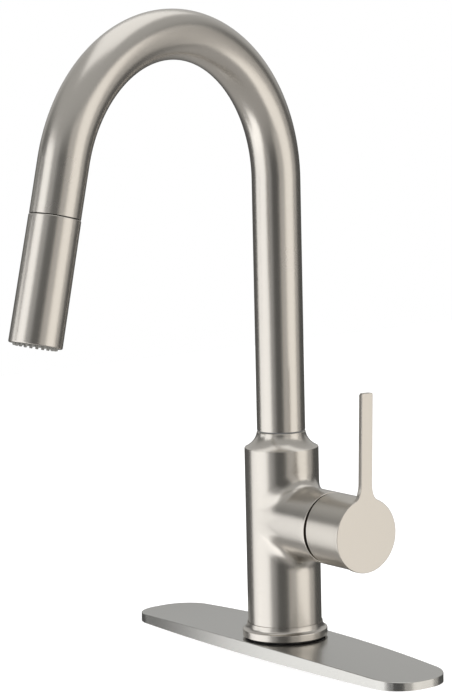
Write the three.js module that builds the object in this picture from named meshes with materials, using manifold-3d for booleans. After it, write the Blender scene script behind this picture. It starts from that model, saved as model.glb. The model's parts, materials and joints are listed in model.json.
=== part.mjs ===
// Pull-down kitchen faucet: deck plate, one-piece valve body with a side barrel and lever
// handle, swivelling gooseneck spout, and a spray head that docks magnetically on its end.
//
// Millimetres, +Z up. The origin is on the body's axis at the level of the worktop, the plate
// lies along X, the sink is towards -Y and the handle is on +X. What hangs below z = 0 is the
// mounting hardware under the worktop.

import * as THREE from "three";
import { mergeVertices } from "three/addons/utils/BufferGeometryUtils.js";
import Module from "manifold-3d";

const wasm = await Module();
wasm.setup();

// ---- Driving dimensions -----------------------------------------------------------------

// Clearances and facets
const FIT_GAP = 0.3; // pieces that seat on or in each other
const RUN_GAP = 0.5; // pieces that turn or slide past each other
const FINE = 32; // sides of the large outside surfaces
const COARSE = 16; // sides of small and hidden turned pieces
const BORED = 10; // sides of small holes and screws

// Deck plate, its underlay and its gasket
const PLATE_LENGTH = 254; // ten inches, covers a three-hole sink
const PLATE_HALF_WIDTH = 27.3; // at the middle
const PLATE_SIDE_BOW = 4.35; // each side is this much further in at the ends
const PLATE_CORNER_RADIUS = 19.6;
const PLATE_HEIGHT = 7.7; // at the middle of its crown
const PLATE_END_HEIGHT = 4.7;
const PLATE_WALL = 1.5;
const GASKET_THICKNESS = 1.0;

// Body
const BASE_SEAL_THICKNESS = 0.6;
const BASE_RING_STEP = 3.3; // the ring stands out from the body by this much
const BASE_RING_HEIGHT = 4.3;
const BASE_RING_COVE = 3.8; // height of the hollow curve above the ring's edge
const BASE_RING_FLANGE = 1.3; // the body stands on it
const BODY_RADIUS = 21.5;
const BODY_WALL = 3.9;
const BODY_SHOULDER = 120.1; // height at which the body starts to narrow
const NECK_TOP = 129.3;
const NECK_SEAT = 103; // the body's bore narrows to the spout bearings here
const NECK_WALL = 2.3;

// Barrel, which holds the cartridge on its side
const BARREL_HEIGHT = 78.2;
const BARREL_WALL = 3.1; // round the bonnet nut
const BARREL_LIP = 0.8; // the barrel ends this far beyond the bonnet nut
const SEAT_WALL = 5; // valve block between the hose and the cartridge
const CARTRIDGE_RADIUS = 13.9; // a 28 mm cartridge
const CARTRIDGE_WALL = 1.9;
const CARTRIDGE_LENGTH = 21; // from its seat to its flange
const CARTRIDGE_FLANGE = 3.5;
const CARTRIDGE_FLANGE_STEP = 2.5; // how far the flange stands out
const CARTRIDGE_NOSE = 1.5; // what it sticks out in front of its flange
const NUT_STEP = 1.0; // the bonnet nut is this much wider than the flange
const NUT_LENGTH = 8;
const TRIM_LENGTH = 3.9;
const TRIM_RADIUS = 15;
const DISC_THICKNESS = 3; // each ceramic disc
const PORT_CIRCLE = 7; // radius of the circle of the three water ports
const PORT_RADIUS = 2;
const PIVOT_BEYOND = 3; // the lever's pivot pin, beyond the start of the flange

// Handle
const HANDLE_GAP_TOP = 1.2; // the gap to the barrel is a wedge, wider at the bottom
const HANDLE_GAP_BOTTOM = 3.2;
const HANDLE_DEPTH = 31; // from the end of the barrel to the front face
const HANDLE_RIM_STEP = 0.6; // the rim is this much wider than the drum
const HANDLE_RIM_WIDTH = 2.6;
const HANDLE_RIM_BEVEL = 1.1;
const HANDLE_WALL = 3.2;
const HANDLE_FACE_THICKNESS = 6.6;
const LEVER_LENGTH = 80.8; // from the barrel's axis to the tip
const LEVER_WIDTH = 8;
const LEVER_THICKNESS = 4.2;
const LEVER_FLARE = 5.2; // how far each root fillet spreads
const LEVER_TURN = -1.7; // degrees off upright at rest, about +X
const STEM_SIZE = 7; // square steel stem

// Waterways and mounting below the body
const TUBE_RADIUS = 3.8;
const TUBE_FITTING_STEP = 0.6; // the fitting at each tube's end is this much wider
const TUBE_SOCKET = 12; // how deep they go into the valve block
const VALVE_BLOCK_BOTTOM = 30;
const SHANK_WALL = 1;
const SHANK_BOTTOM = -70;
const TUBE_BOTTOM = -95;
const WORKTOP_THICKNESS = 20; // the worktop that the washers clamp
const WASHER_WIDTH = 9.4;
const RUBBER_WASHER_THICKNESS = 3;
const STEEL_WASHER_THICKNESS = 2;
const NUT_WALL = 6.6; // from its bore to its flats
const NUT_HEIGHT = 11;
const NUT_SCREW_RADIUS = 1.6;

// Spout
const SPOUT_TURN = 10.6; // degrees towards the handle at rest, about +Z
const TUBE_OUTER = 14; // 28 mm spout tube
const SPOUT_WALL = 1.2;
const BEND_START = 275; // height at which the riser starts to bend
const BEND_RADIUS = 85.9; // of the tube's centre line
const BEND_SWEEP = 165.5; // degrees
const DROP_LENGTH = 29.3; // straight tube after the bend, down to the spray head
const BEARING_FLANGE = 0.45;
const SWIVEL_GAP = 0.15; // above and below the bearing's flange
const BEARING_WALL = 1.1; // round the spout's shaft
const HUB_LENGTH = 16; // what of the hub is inside the spout tube

// Hose
const HOSE_RADIUS = 6;
const HOSE_BOTTOM = -104;
const CONNECTOR_RADIUS = 8.5;
const CONNECTOR_LENGTH = 24;

// Spray head, in its own frame: distances along its axis from the seam with the spout
const HEAD_LENGTH = 69.5;
const HEAD_TOP_RADIUS = 14.2;
const HEAD_END_RADIUS = 14.6;
const HEAD_WALL = 1.3;
const HEAD_SEAM = 0.35;
const NECK_LENGTH = 17; // the core's neck, docked inside the spout
const CORE_NECK_WALL = 1.1;
const FITTING_STEP = 0.7; // the hose's end fitting is this much wider than the hose
const FITTING_LENGTH = 17.5; // end fitting of the hose
const CORE_LENGTH = 46;
const NOZZLE_COUNT = 22;
const NOZZLE_REACH = 1.5; // how far the nozzles stand out of the head
const NOZZLE_RADIUS = 1.1;
const AERATOR_RADIUS = 5.2;

// ---- Heights and places that follow from them -------------------------------------------

const degrees = THREE.MathUtils.degToRad;

const cartridgeSeat = HOSE_RADIUS + RUN_GAP * 2 + SEAT_WALL; // out from the body's axis
const cartridgeShoulder = cartridgeSeat + CARTRIDGE_LENGTH;
const pivotOut = cartridgeShoulder + PIVOT_BEYOND;
const nutStart = cartridgeShoulder + CARTRIDGE_FLANGE + FIT_GAP;
const barrelEnd = nutStart + NUT_LENGTH + BARREL_LIP;
const handleFace = barrelEnd + HANDLE_DEPTH;
const tubeCircle = HOSE_RADIUS + TUBE_RADIUS + TUBE_FITTING_STEP + FIT_GAP;
const baseRingRadius = BODY_RADIUS + BASE_RING_STEP;

const sealBottom = PLATE_HEIGHT + FIT_GAP;
const ringBottom = sealBottom + BASE_SEAL_THICKNESS + FIT_GAP;
const bodyBottom = ringBottom + BASE_RING_FLANGE + FIT_GAP;
const bodyBore = BODY_RADIUS - BODY_WALL;
const shankRadius = bodyBore - FIT_GAP; // 34.6 mm across, for a 35 mm deck hole
const deckHoleRadius = shankRadius + FIT_GAP * 2;
const neckRadius = TUBE_OUTER + 0.1;
const neckBore = neckRadius - NECK_WALL;
const bearingBottom = NECK_TOP + SWIVEL_GAP; // underside of the upper bearing's flange
const spoutBottom = bearingBottom + BEARING_FLANGE + SWIVEL_GAP;
const spoutBore = TUBE_OUTER - SPOUT_WALL;
const hubBore = HOSE_RADIUS + RUN_GAP * 2;
const hubRadius = neckBore - FIT_GAP - BEARING_WALL - RUN_GAP;
const blockRadius = bodyBore - FIT_GAP;
const hubBottom = NECK_SEAT - 3.4;
const blockTop = hubBottom - 0.8;
const pocketRadius = CARTRIDGE_RADIUS + FIT_GAP * 1.5;
const flangeRadius = CARTRIDGE_RADIUS + CARTRIDGE_FLANGE_STEP;
const nutRadius = flangeRadius + NUT_STEP;
const barrelRadius = nutRadius + FIT_GAP + BARREL_WALL;
const rimRadius = barrelRadius + HANDLE_RIM_STEP;
const fittingRadius = HOSE_RADIUS + FITTING_STEP;
const coreNeckRadius = fittingRadius + RUN_GAP + CORE_NECK_WALL;
const sweep = degrees(BEND_SWEEP);

// The cartridge's stack, out from its seat
const sealOut = cartridgeSeat + FIT_GAP;
const cartridgeBaseOut = sealOut + 1.2 + FIT_GAP;
const housingOut = cartridgeBaseOut + 3.5 + FIT_GAP;
const fixedDiscOut = housingOut;
const movingDiscOut = fixedDiscOut + DISC_THICKNESS + FIT_GAP;
const carrierOut = movingDiscOut + DISC_THICKNESS;
const carrierEnd = carrierOut + 3.7;
const rotorFlangeOut = cartridgeShoulder - 3;
const housingBore = CARTRIDGE_RADIUS - CARTRIDGE_WALL;

// Frames: the barrel's has x to the back, y up and z out along the barrel
const barrelFrame = new THREE.Matrix4()
  .makeBasis(new THREE.Vector3(0, 1, 0), new THREE.Vector3(0, 0, 1), new THREE.Vector3(1, 0, 0))
  .setPosition(0, 0, BARREL_HEIGHT);

// Where the three tubes stand, as seen from above, and the port that each one feeds,
// as seen along the barrel
const waterways = [
  { name: "outlet_tube", standsAt: 0, portAt: -90 },
  { name: "cold_inlet_tube", standsAt: 75, portAt: 30 },
  { name: "hot_inlet_tube", standsAt: -75, portAt: 150 },
].map(({ name, standsAt, portAt }) => ({
  name,
  x: tubeCircle * Math.cos(degrees(standsAt)),
  y: tubeCircle * Math.sin(degrees(standsAt)),
  portBack: PORT_CIRCLE * Math.cos(degrees(portAt)),
  portUp: PORT_CIRCLE * Math.sin(degrees(portAt)),
}));

// ---- Materials --------------------------------------------------------------------------

const metal = (color, roughness) =>
  new THREE.MeshStandardMaterial({ color, roughness, metalness: 1 });
const matte = (color, roughness) =>
  new THREE.MeshStandardMaterial({ color, roughness, metalness: 0 });

const brushedNickel = metal(0xb9b3a9, 0.32);
const plateNickel = metal(0xaaaca6, 0.4);
const brass = metal(0xb08d4f, 0.4);
const steel = metal(0xa9abad, 0.35);
const magnetNickel = metal(0x8d8f92, 0.3);
const darkRubber = matte(0x2b2a29, 0.8);
const greyRubber = matte(0x4a4947, 0.7);
const whitePlastic = matte(0xe6e4de, 0.5);
const greyPlastic = matte(0x7c7c7a, 0.5);
const ceramic = matte(0xf1efe9, 0.25);
const braid = matte(0x5d5f62, 0.6);

// ---- Solids -----------------------------------------------------------------------------

// A solid of revolution about Z from a list of [radius, height] points. An outline that
// starts and ends on the axis stays open there, and any other closes on itself.
function turned(outline, sides = COARSE) {
  const points = outline.map(([radius, height]) => new THREE.Vector2(radius, height));
  if (THREE.ShapeUtils.area(points) < 0) points.reverse();
  const onAxis = points[0].x === 0 && points[points.length - 1].x === 0;
  if (!onAxis) points.push(points[0].clone());
  return new THREE.LatheGeometry(points, sides).rotateX(Math.PI / 2);
}

const rod = (radius, low, high, sides = COARSE) =>
  turned([[0, low], [radius, low], [radius, high], [0, high]], sides);

const ring = (inner, outer, low, high, sides = COARSE) =>
  turned([[inner, low], [outer, low], [outer, high], [inner, high]], sides);

// A rod between two points
function strut(from, to, radius, sides = BORED) {
  const direction = to.clone().sub(from);
  const turn = new THREE.Quaternion().setFromUnitVectors(
    new THREE.Vector3(0, 0, 1),
    direction.clone().normalize(),
  );
  return rod(radius, 0, direction.length(), sides)
    .applyQuaternion(turn)
    .translate(from.x, from.y, from.z);
}

const block = (width, depth, low, high) =>
  new THREE.BoxGeometry(width, depth, high - low).translate(0, 0, (low + high) / 2);

const raised = (shape, low, high, curveSegments = 6) =>
  new THREE.ExtrudeGeometry(shape, { depth: high - low, bevelEnabled: false, curveSegments })
    .translate(0, 0, low);

function solid(geometry) {
  const bare = geometry.index ? geometry.toNonIndexed() : geometry.clone();
  bare.deleteAttribute("normal");
  bare.deleteAttribute("uv");
  const merged = mergeVertices(bare, 1e-4);
  return new wasm.Manifold(
    new wasm.Mesh({
      numProp: 3,
      vertProperties: merged.attributes.position.array,
      triVerts: new Uint32Array(merged.index.array),
    }),
  );
}

function geometryOf(manifold) {
  const mesh = manifold.getMesh();
  const geometry = new THREE.BufferGeometry();
  geometry.setAttribute("position", new THREE.BufferAttribute(mesh.vertProperties, 3));
  geometry.setIndex(new THREE.BufferAttribute(mesh.triVerts, 1));
  geometry.computeVertexNormals();
  return geometry;
}

const combine = (operation) => (first, ...others) =>
  geometryOf(others.reduce((made, other) => made[operation](solid(other)), solid(first)));
const joined = combine("add");
const cut = combine("subtract");
const common = combine("intersect");

function piece(name, geometry, material) {
  const mesh = new THREE.Mesh(geometry, material);
  mesh.name = name;
  return mesh;
}

function assembly(...children) {
  const group = new THREE.Group();
  group.add(...children);
  return group;
}

// ---- Deck plate -------------------------------------------------------------------------

// The plate's outline, moved in by inset: round corners and gently bowed long sides
function plateShape(inset) {
  const corner = PLATE_CORNER_RADIUS - inset;
  const turnX = PLATE_LENGTH / 2 - PLATE_CORNER_RADIUS;
  const bow = PLATE_SIDE_BOW * ((2 * turnX) / PLATE_LENGTH) ** 2;
  const middleY = PLATE_HALF_WIDTH - inset;
  const turnY = middleY - bow - corner;
  const shape = new THREE.Shape();
  shape.absarc(turnX, turnY, corner, 0, Math.PI / 2, false);
  shape.quadraticCurveTo(0, middleY + bow, -turnX, turnY + corner);
  shape.absarc(-turnX, turnY, corner, Math.PI / 2, Math.PI, false);
  shape.absarc(-turnX, -turnY, corner, Math.PI, Math.PI * 1.5, false);
  shape.quadraticCurveTo(0, -middleY - bow, turnX, -turnY - corner);
  shape.absarc(turnX, -turnY, corner, Math.PI * 1.5, Math.PI * 2, false);
  return shape;
}

// What lies under the plate's crowned top, lowered by drop
function underCrown(drop) {
  const half = PLATE_LENGTH / 2;
  const end = PLATE_END_HEIGHT - drop;
  const top = PLATE_HEIGHT - drop;
  const side = new THREE.Shape();
  side.moveTo(-half, -PLATE_HEIGHT);
  side.lineTo(half, -PLATE_HEIGHT);
  side.lineTo(half, end);
  side.quadraticCurveTo(0, 2 * top - end, -half, end);
  const width = PLATE_HALF_WIDTH * 2;
  return raised(side, -width / 2, width / 2, 10).rotateX(Math.PI / 2);
}

// The plate's solid between two levels, moved in by inset and lowered by drop
const plateBlank = (inset, drop, low) =>
  common(raised(plateShape(inset), low, PLATE_HEIGHT, 5), underCrown(drop));

function deckPlate() {
  const cavity = plateBlank(PLATE_WALL, PLATE_WALL, -1);
  const hole = rod(deckHoleRadius, -1, PLATE_HEIGHT + 1, FINE);
  return piece("deck_plate", cut(plateBlank(0, 0, 0), cavity, hole), plateNickel);
}

function plateUnderlay() {
  const inset = PLATE_WALL + FIT_GAP;
  const hole = rod(deckHoleRadius, -1, PLATE_HEIGHT + 1, FINE);
  const blank = plateBlank(inset, inset, GASKET_THICKNESS + FIT_GAP);
  return piece("plate_underlay", cut(blank, hole), whitePlastic);
}

function deckGasket() {
  const hole = rod(deckHoleRadius, -1, GASKET_THICKNESS + 1, FINE);
  const sheet = raised(plateShape(PLATE_WALL + FIT_GAP), 0, GASKET_THICKNESS, 5);
  return piece("deck_gasket", cut(sheet, hole), darkRubber);
}

// ---- Body -------------------------------------------------------------------------------

function baseSeal() {
  const inner = deckHoleRadius + FIT_GAP;
  const outer = baseRingRadius - 1.2;
  const top = sealBottom + BASE_SEAL_THICKNESS;
  return piece("base_seal", ring(inner, outer, sealBottom, top), darkRubber);
}

function baseRing() {
  const edge = ringBottom + BASE_RING_HEIGHT;
  const inner = BODY_RADIUS + FIT_GAP;
  const cove = new THREE.QuadraticBezierCurve(
    new THREE.Vector2(baseRingRadius - 0.4, edge),
    new THREE.Vector2(inner + 0.3, edge),
    new THREE.Vector2(inner + 0.3, edge + BASE_RING_COVE),
  );
  const outline = [
    [deckHoleRadius, ringBottom],
    [baseRingRadius, ringBottom],
    [baseRingRadius, edge - 0.4],
    ...cove.getPoints(3).map(({ x, y }) => [x, y]),
    [inner, edge + BASE_RING_COVE],
    [inner, ringBottom + BASE_RING_FLANGE],
    [deckHoleRadius, ringBottom + BASE_RING_FLANGE],
  ];
  return piece("base_ring", turned(outline, FINE), brushedNickel);
}

function bodyShell() {
  const cove = new THREE.QuadraticBezierCurve(
    new THREE.Vector2(BODY_RADIUS - 0.4, BODY_SHOULDER),
    new THREE.Vector2(neckRadius + 0.9, BODY_SHOULDER + 3.1),
    new THREE.Vector2(neckRadius, NECK_TOP),
  );
  const outside = turned([
    [0, bodyBottom],
    [BODY_RADIUS, bodyBottom],
    [BODY_RADIUS, BODY_SHOULDER - 0.7],
    ...cove.getPoints(5).map(({ x, y }) => [x, y]),
    [0, NECK_TOP],
  ], FINE);
  const barrel = rod(barrelRadius, 0, barrelEnd, FINE).applyMatrix4(barrelFrame);
  const bore = turned([
    [0, bodyBottom - 1],
    [bodyBore, bodyBottom - 1],
    [bodyBore, NECK_SEAT],
    [neckBore, NECK_SEAT],
    [neckBore, NECK_TOP + 1],
    [0, NECK_TOP + 1],
  ], FINE);
  const cartridgeBore = turned([
    [0, cartridgeSeat - 2],
    [pocketRadius, cartridgeSeat - 2],
    [pocketRadius, cartridgeShoulder - FIT_GAP],
    [nutRadius + FIT_GAP, cartridgeShoulder - FIT_GAP],
    [nutRadius + FIT_GAP, barrelEnd + 1],
    [0, barrelEnd + 1],
  ], FINE).applyMatrix4(barrelFrame);
  return piece("body_shell", cut(joined(outside, barrel), bore, cartridgeBore), brushedNickel);
}

function valveBlock() {
  const hoseChannel = rod(hubBore, VALVE_BLOCK_BOTTOM - 1, blockTop + 1);
  const pocket = rod(pocketRadius, cartridgeSeat, bodyBore * 2, FINE).applyMatrix4(barrelFrame);
  const sockets = [];
  const passages = [];
  for (const { x, y, portBack, portUp } of waterways) {
    const socketTop = VALVE_BLOCK_BOTTOM + TUBE_SOCKET;
    sockets.push(
      rod(TUBE_RADIUS + FIT_GAP, VALVE_BLOCK_BOTTOM - 1, socketTop).translate(x, y, 0),
    );
    const behindSeat = cartridgeSeat - PORT_RADIUS - 0.5;
    const corner = new THREE.Vector3(behindSeat, portBack, BARREL_HEIGHT + portUp);
    const mouth = corner.clone().setX(cartridgeSeat + 1);
    passages.push(strut(new THREE.Vector3(x, y, socketTop - 1), corner, PORT_RADIUS));
    passages.push(strut(corner, mouth, PORT_RADIUS));
  }
  const blank = rod(blockRadius, VALVE_BLOCK_BOTTOM, blockTop, FINE);
  return piece("valve_block", cut(blank, hoseChannel, pocket, ...sockets, ...passages), brass);
}

function waterTubes() {
  const top = VALVE_BLOCK_BOTTOM + TUBE_SOCKET - FIT_GAP;
  const fitting = TUBE_RADIUS + TUBE_FITTING_STEP;
  return waterways.map(({ name, x, y }) => {
    const outline = [
      [TUBE_RADIUS - 1.2, TUBE_BOTTOM],
      [fitting, TUBE_BOTTOM],
      [fitting, TUBE_BOTTOM + 10],
      [TUBE_RADIUS, TUBE_BOTTOM + 11],
      [TUBE_RADIUS, top],
      [TUBE_RADIUS - 1.2, top],
    ];
    const tube = piece(name, turned(outline, 12), steel);
    tube.position.set(x, y, 0);
    return tube;
  });
}

function mountingShank() {
  const inner = shankRadius - SHANK_WALL;
  const top = VALVE_BLOCK_BOTTOM - 3;
  return piece("mounting_shank", ring(inner, shankRadius, SHANK_BOTTOM, top), brass);
}

function mountingHardware() {
  const inner = shankRadius + FIT_GAP;
  const rubberTop = -WORKTOP_THICKNESS;
  const steelTop = rubberTop - RUBBER_WASHER_THICKNESS - FIT_GAP;
  const nutTop = steelTop - STEEL_WASHER_THICKNESS - FIT_GAP;
  const nutBottom = nutTop - NUT_HEIGHT;
  const outer = inner + WASHER_WIDTH;
  const rubber = ring(inner, outer, rubberTop - RUBBER_WASHER_THICKNESS, rubberTop);
  const washer = ring(inner, outer, steelTop - STEEL_WASHER_THICKNESS, steelTop);

  const screwCircle = inner + NUT_WALL / 2;
  const screwHole = rod(NUT_SCREW_RADIUS + FIT_GAP, nutBottom - 1, nutTop + 1, BORED);
  const screw = turned([
    [0, nutBottom - 3],
    [NUT_SCREW_RADIUS * 1.7, nutBottom - 3],
    [NUT_SCREW_RADIUS * 1.7, nutBottom - FIT_GAP],
    [NUT_SCREW_RADIUS, nutBottom - FIT_GAP],
    [NUT_SCREW_RADIUS, nutTop],
    [0, nutTop],
  ], BORED);
  const cornerRadius = (inner + NUT_WALL) / Math.cos(Math.PI / 6);
  const blank = rod(cornerRadius, nutBottom, nutTop, 6);
  const bore = rod(inner, nutBottom - 1, nutTop + 1);
  const holes = [-1, 1].map((side) => screwHole.clone().translate(side * screwCircle, 0, 0));
  const screws = [-1, 1].map((side) =>
    piece(side < 0 ? "nut_screw_left" : "nut_screw_right",
      screw.clone().translate(side * screwCircle, 0, 0), steel),
  );
  return [
    piece("rubber_washer", rubber, darkRubber),
    piece("steel_washer", washer, steel),
    piece("mounting_nut", cut(blank, bore, ...holes), brass),
    ...screws,
  ];
}

// ---- Cartridge, built in the barrel's frame ---------------------------------------------

// A disc with the three water ports through it
function ported(radius, low, high) {
  const ports = waterways.map(({ portBack, portUp }) =>
    rod(PORT_RADIUS, low - 1, high + 1, BORED).translate(portBack, portUp, 0),
  );
  return cut(rod(radius, low, high), ...ports);
}

function cartridgeFixed() {
  const flangeEnd = cartridgeShoulder + CARTRIDGE_FLANGE;
  const noseEnd = flangeEnd + CARTRIDGE_NOSE;
  const mouth = housingBore - 1.8;
  const housing = [
    [housingBore, housingOut],
    [CARTRIDGE_RADIUS, housingOut],
    [CARTRIDGE_RADIUS, cartridgeShoulder],
    [flangeRadius, cartridgeShoulder],
    [flangeRadius, flangeEnd],
    [mouth + 2, flangeEnd],
    [mouth + 2, noseEnd],
    [mouth, noseEnd],
    [mouth, cartridgeShoulder],
    [housingBore, cartridgeShoulder],
  ];
  const nutInner = mouth + 2 + RUN_GAP;
  const trimStart = nutStart + NUT_LENGTH + FIT_GAP;
  const baseRadius = CARTRIDGE_RADIUS;
  const fixedDiscEnd = fixedDiscOut + DISC_THICKNESS;
  return [
    piece("cartridge_seal", ported(baseRadius - 2, sealOut, sealOut + 1.2), darkRubber),
    piece("cartridge_base", ported(baseRadius, cartridgeBaseOut, cartridgeBaseOut + 3.5),
      whitePlastic),
    piece("fixed_ceramic_disc", ported(housingBore - FIT_GAP, fixedDiscOut, fixedDiscEnd),
      ceramic),
    piece("cartridge_housing", turned(housing), whitePlastic),
    piece("bonnet_nut", ring(nutInner, nutRadius, nutStart, nutStart + NUT_LENGTH), brass),
    piece("bonnet_trim", ring(nutInner, TRIM_RADIUS, trimStart, trimStart + TRIM_LENGTH),
      magnetNickel),
  ];
}

// The turning part of the cartridge: it carries the pin that the lever's stem tilts on
function cartridgeRotor() {
  const outer = housingBore - 1.8 - RUN_GAP;
  const front = pivotOut + 5;
  const blank = turned([
    [0, rotorFlangeOut],
    [housingBore - RUN_GAP, rotorFlangeOut],
    [housingBore - RUN_GAP, cartridgeShoulder - RUN_GAP],
    [outer, cartridgeShoulder - RUN_GAP],
    [outer, front],
    [0, front],
  ]);
  const slot = block(STEM_SIZE + 0.8, STEM_SIZE + 4, rotorFlangeOut - 1, front + 1);
  const pinRadius = 1.5;
  const across = (radius, half) =>
    rod(radius, -half, half, BORED).rotateY(Math.PI / 2).translate(0, 0, pivotOut);
  return [
    piece("rotor_guide", cut(blank, slot, across(pinRadius + FIT_GAP, outer * 2)), greyPlastic),
    piece("pivot_pin", across(pinRadius, outer - 0.6), steel),
  ];
}

function cartridgeSlider() {
  const radius = housingBore - 3.2;
  const pocketDepth = DISC_THICKNESS / 2;
  const movingDisc = turned([
    [PORT_CIRCLE - PORT_RADIUS - 1, movingDiscOut + pocketDepth],
    [PORT_CIRCLE - PORT_RADIUS - 1, movingDiscOut],
    [radius, movingDiscOut],
    [radius, carrierOut - FIT_GAP],
    [0, carrierOut - FIT_GAP],
    [0, movingDiscOut + pocketDepth],
  ]);
  const socket = block(STEM_SIZE - 1.2, STEM_SIZE - 0.6, carrierOut + 0.6, carrierEnd + 1);
  return [
    piece("moving_ceramic_disc", movingDisc, ceramic),
    piece("disc_carrier", cut(rod(radius + 0.6, carrierOut, carrierEnd), socket), greyPlastic),
  ];
}

// ---- Handle, built in the barrel's frame turned to its rest position --------------------

function leverShape() {
  const half = LEVER_WIDTH / 2;
  const root = rimRadius * 0.88;
  const flareTop = root + LEVER_FLARE * 2.1;
  const shape = new THREE.Shape();
  shape.moveTo(-half - LEVER_FLARE, root);
  shape.quadraticCurveTo(-half - 0.3, root + LEVER_FLARE * 0.5, -half, flareTop);
  shape.lineTo(-half, LEVER_LENGTH - 1);
  shape.lineTo(-half + 1, LEVER_LENGTH);
  shape.lineTo(half - 1, LEVER_LENGTH);
  shape.lineTo(half, LEVER_LENGTH - 1);
  shape.lineTo(half, flareTop);
  shape.quadraticCurveTo(half + 0.3, root + LEVER_FLARE * 0.5, half + LEVER_FLARE, root);
  shape.lineTo(half, root - LEVER_FLARE);
  shape.lineTo(-half, root - LEVER_FLARE);
  return shape;
}

function handlePieces() {
  const rimBack = handleFace - HANDLE_RIM_WIDTH;
  const wedge = Math.atan((HANDLE_GAP_BOTTOM - HANDLE_GAP_TOP) / (2 * barrelRadius));
  const gapMiddle = barrelEnd + (HANDLE_GAP_TOP + HANDLE_GAP_BOTTOM) / 2;
  const drum = turned([
    [0, barrelEnd],
    [barrelRadius, barrelEnd],
    [barrelRadius, rimBack - 0.6],
    [rimRadius, rimBack],
    [rimRadius, handleFace - HANDLE_RIM_BEVEL],
    [rimRadius - HANDLE_RIM_BEVEL, handleFace],
    [0, handleFace],
  ], FINE);
  const lever = raised(leverShape(), handleFace - LEVER_THICKNESS, handleFace);
  const cavityEnd = handleFace - HANDLE_FACE_THICKNESS;
  const cavity = rod(barrelRadius - HANDLE_WALL, barrelEnd - 1, cavityEnd, FINE);
  const behind = block(80, 80, -40, 0).rotateX(-wedge).translate(0, 0, gapMiddle);

  const bossRadius = STEM_SIZE / 2 + 4.3;
  const bossStart = barrelEnd + TRIM_LENGTH + 1.5;
  const stemEnd = cavityEnd - 4;
  const boss = rod(bossRadius, bossStart, cavityEnd + 1);
  const stemHole = block(STEM_SIZE + 2 * FIT_GAP, STEM_SIZE + 2 * FIT_GAP, 0, stemEnd + FIT_GAP);
  const screwOut = (bossStart + cavityEnd) / 2;
  const downward = (radius, near, far) =>
    rod(radius, near, far, BORED).rotateX(Math.PI / 2).translate(0, 0, screwOut);
  const screwRadius = 2;
  const plugRadius = 2.6;
  const handle = cut(
    joined(cut(joined(drum, lever), cavity, behind), boss),
    stemHole,
    downward(screwRadius + FIT_GAP, 0, barrelRadius + 1),
    downward(plugRadius + FIT_GAP, barrelRadius - HANDLE_WALL - 1, barrelRadius + 1),
  );

  const spadeStart = carrierOut + 0.6 + RUN_GAP;
  const spadeEnd = carrierEnd + 1;
  const stemBar = block(STEM_SIZE, STEM_SIZE, spadeEnd - 0.1, stemEnd);
  const spade = block(STEM_SIZE - 2, STEM_SIZE - 2, spadeStart, spadeEnd);
  const pinHole = rod(1.8, -STEM_SIZE, STEM_SIZE, BORED)
    .rotateY(Math.PI / 2).translate(0, 0, pivotOut);
  const screwStart = STEM_SIZE / 2 + FIT_GAP * 2;
  const plugStart = barrelRadius - HANDLE_WALL + FIT_GAP;
  return [
    piece("handle", handle, brushedNickel),
    piece("lever_stem", cut(joined(stemBar, spade), pinHole), steel),
    piece("set_screw", downward(screwRadius, screwStart, bossRadius - 0.2), steel),
    piece("set_screw_plug", downward(plugRadius, plugStart, barrelRadius - 0.2), greyPlastic),
  ];
}

// ---- Spout, built in a frame whose -Y is the direction of its reach ---------------------

// The centre line of the gooseneck: riser, bend and drop. Its parameter gives the riser and
// the drop one step each and the bend the rest, so that steps end where the bend does.
class Gooseneck extends THREE.Curve {
  constructor(bottom, dropLength, bendSteps) {
    super();
    this.bottom = bottom;
    this.dropLength = dropLength;
    this.bendSteps = bendSteps;
    this.steps = bendSteps + 2;
  }

  angleAt(t) {
    const step = THREE.MathUtils.clamp(t * this.steps - 1, 0, this.bendSteps);
    return (sweep * step) / this.bendSteps;
  }

  getTangentAt(t, target = new THREE.Vector3()) {
    const angle = this.angleAt(t);
    return target.set(0, -Math.sin(angle), Math.cos(angle));
  }

  getPointAt(t, target = new THREE.Vector3()) {
    const angle = this.angleAt(t);
    const rise = Math.min(t * this.steps, 1) * (BEND_START - this.bottom);
    const drop = Math.max(t * this.steps - 1 - this.bendSteps, 0) * this.dropLength;
    target.set(
      0,
      -BEND_RADIUS * (1 - Math.cos(angle)),
      this.bottom + rise + BEND_RADIUS * Math.sin(angle),
    );
    return target.addScaledVector(this.getTangentAt(t), drop);
  }
}

// A round bar or tube along the gooseneck
function bent(path, outer, inner, sides) {
  const section = new THREE.Shape().absarc(0, 0, outer, 0, Math.PI * 2, false);
  if (inner > 0) {
    section.holes.push(new THREE.Path().absarc(0, 0, inner, 0, Math.PI * 2, true));
  }
  return new THREE.ExtrudeGeometry(section, {
    extrudePath: path,
    steps: path.steps,
    curveSegments: sides / 2,
    bevelEnabled: false,
  });
}

function spoutBearings() {
  const inner = hubRadius + RUN_GAP;
  const outer = neckBore - FIT_GAP;
  const upper = [
    [inner, bearingBottom - 10],
    [outer, bearingBottom - 10],
    [outer, bearingBottom],
    [neckRadius - 0.5, bearingBottom],
    [neckRadius - 0.5, bearingBottom + BEARING_FLANGE],
    [inner, bearingBottom + BEARING_FLANGE],
  ];
  return [
    piece("upper_bearing", turned(upper), greyPlastic),
    piece("lower_bearing", ring(inner, outer, NECK_SEAT + 2, NECK_SEAT + 8), greyPlastic),
  ];
}

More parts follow.
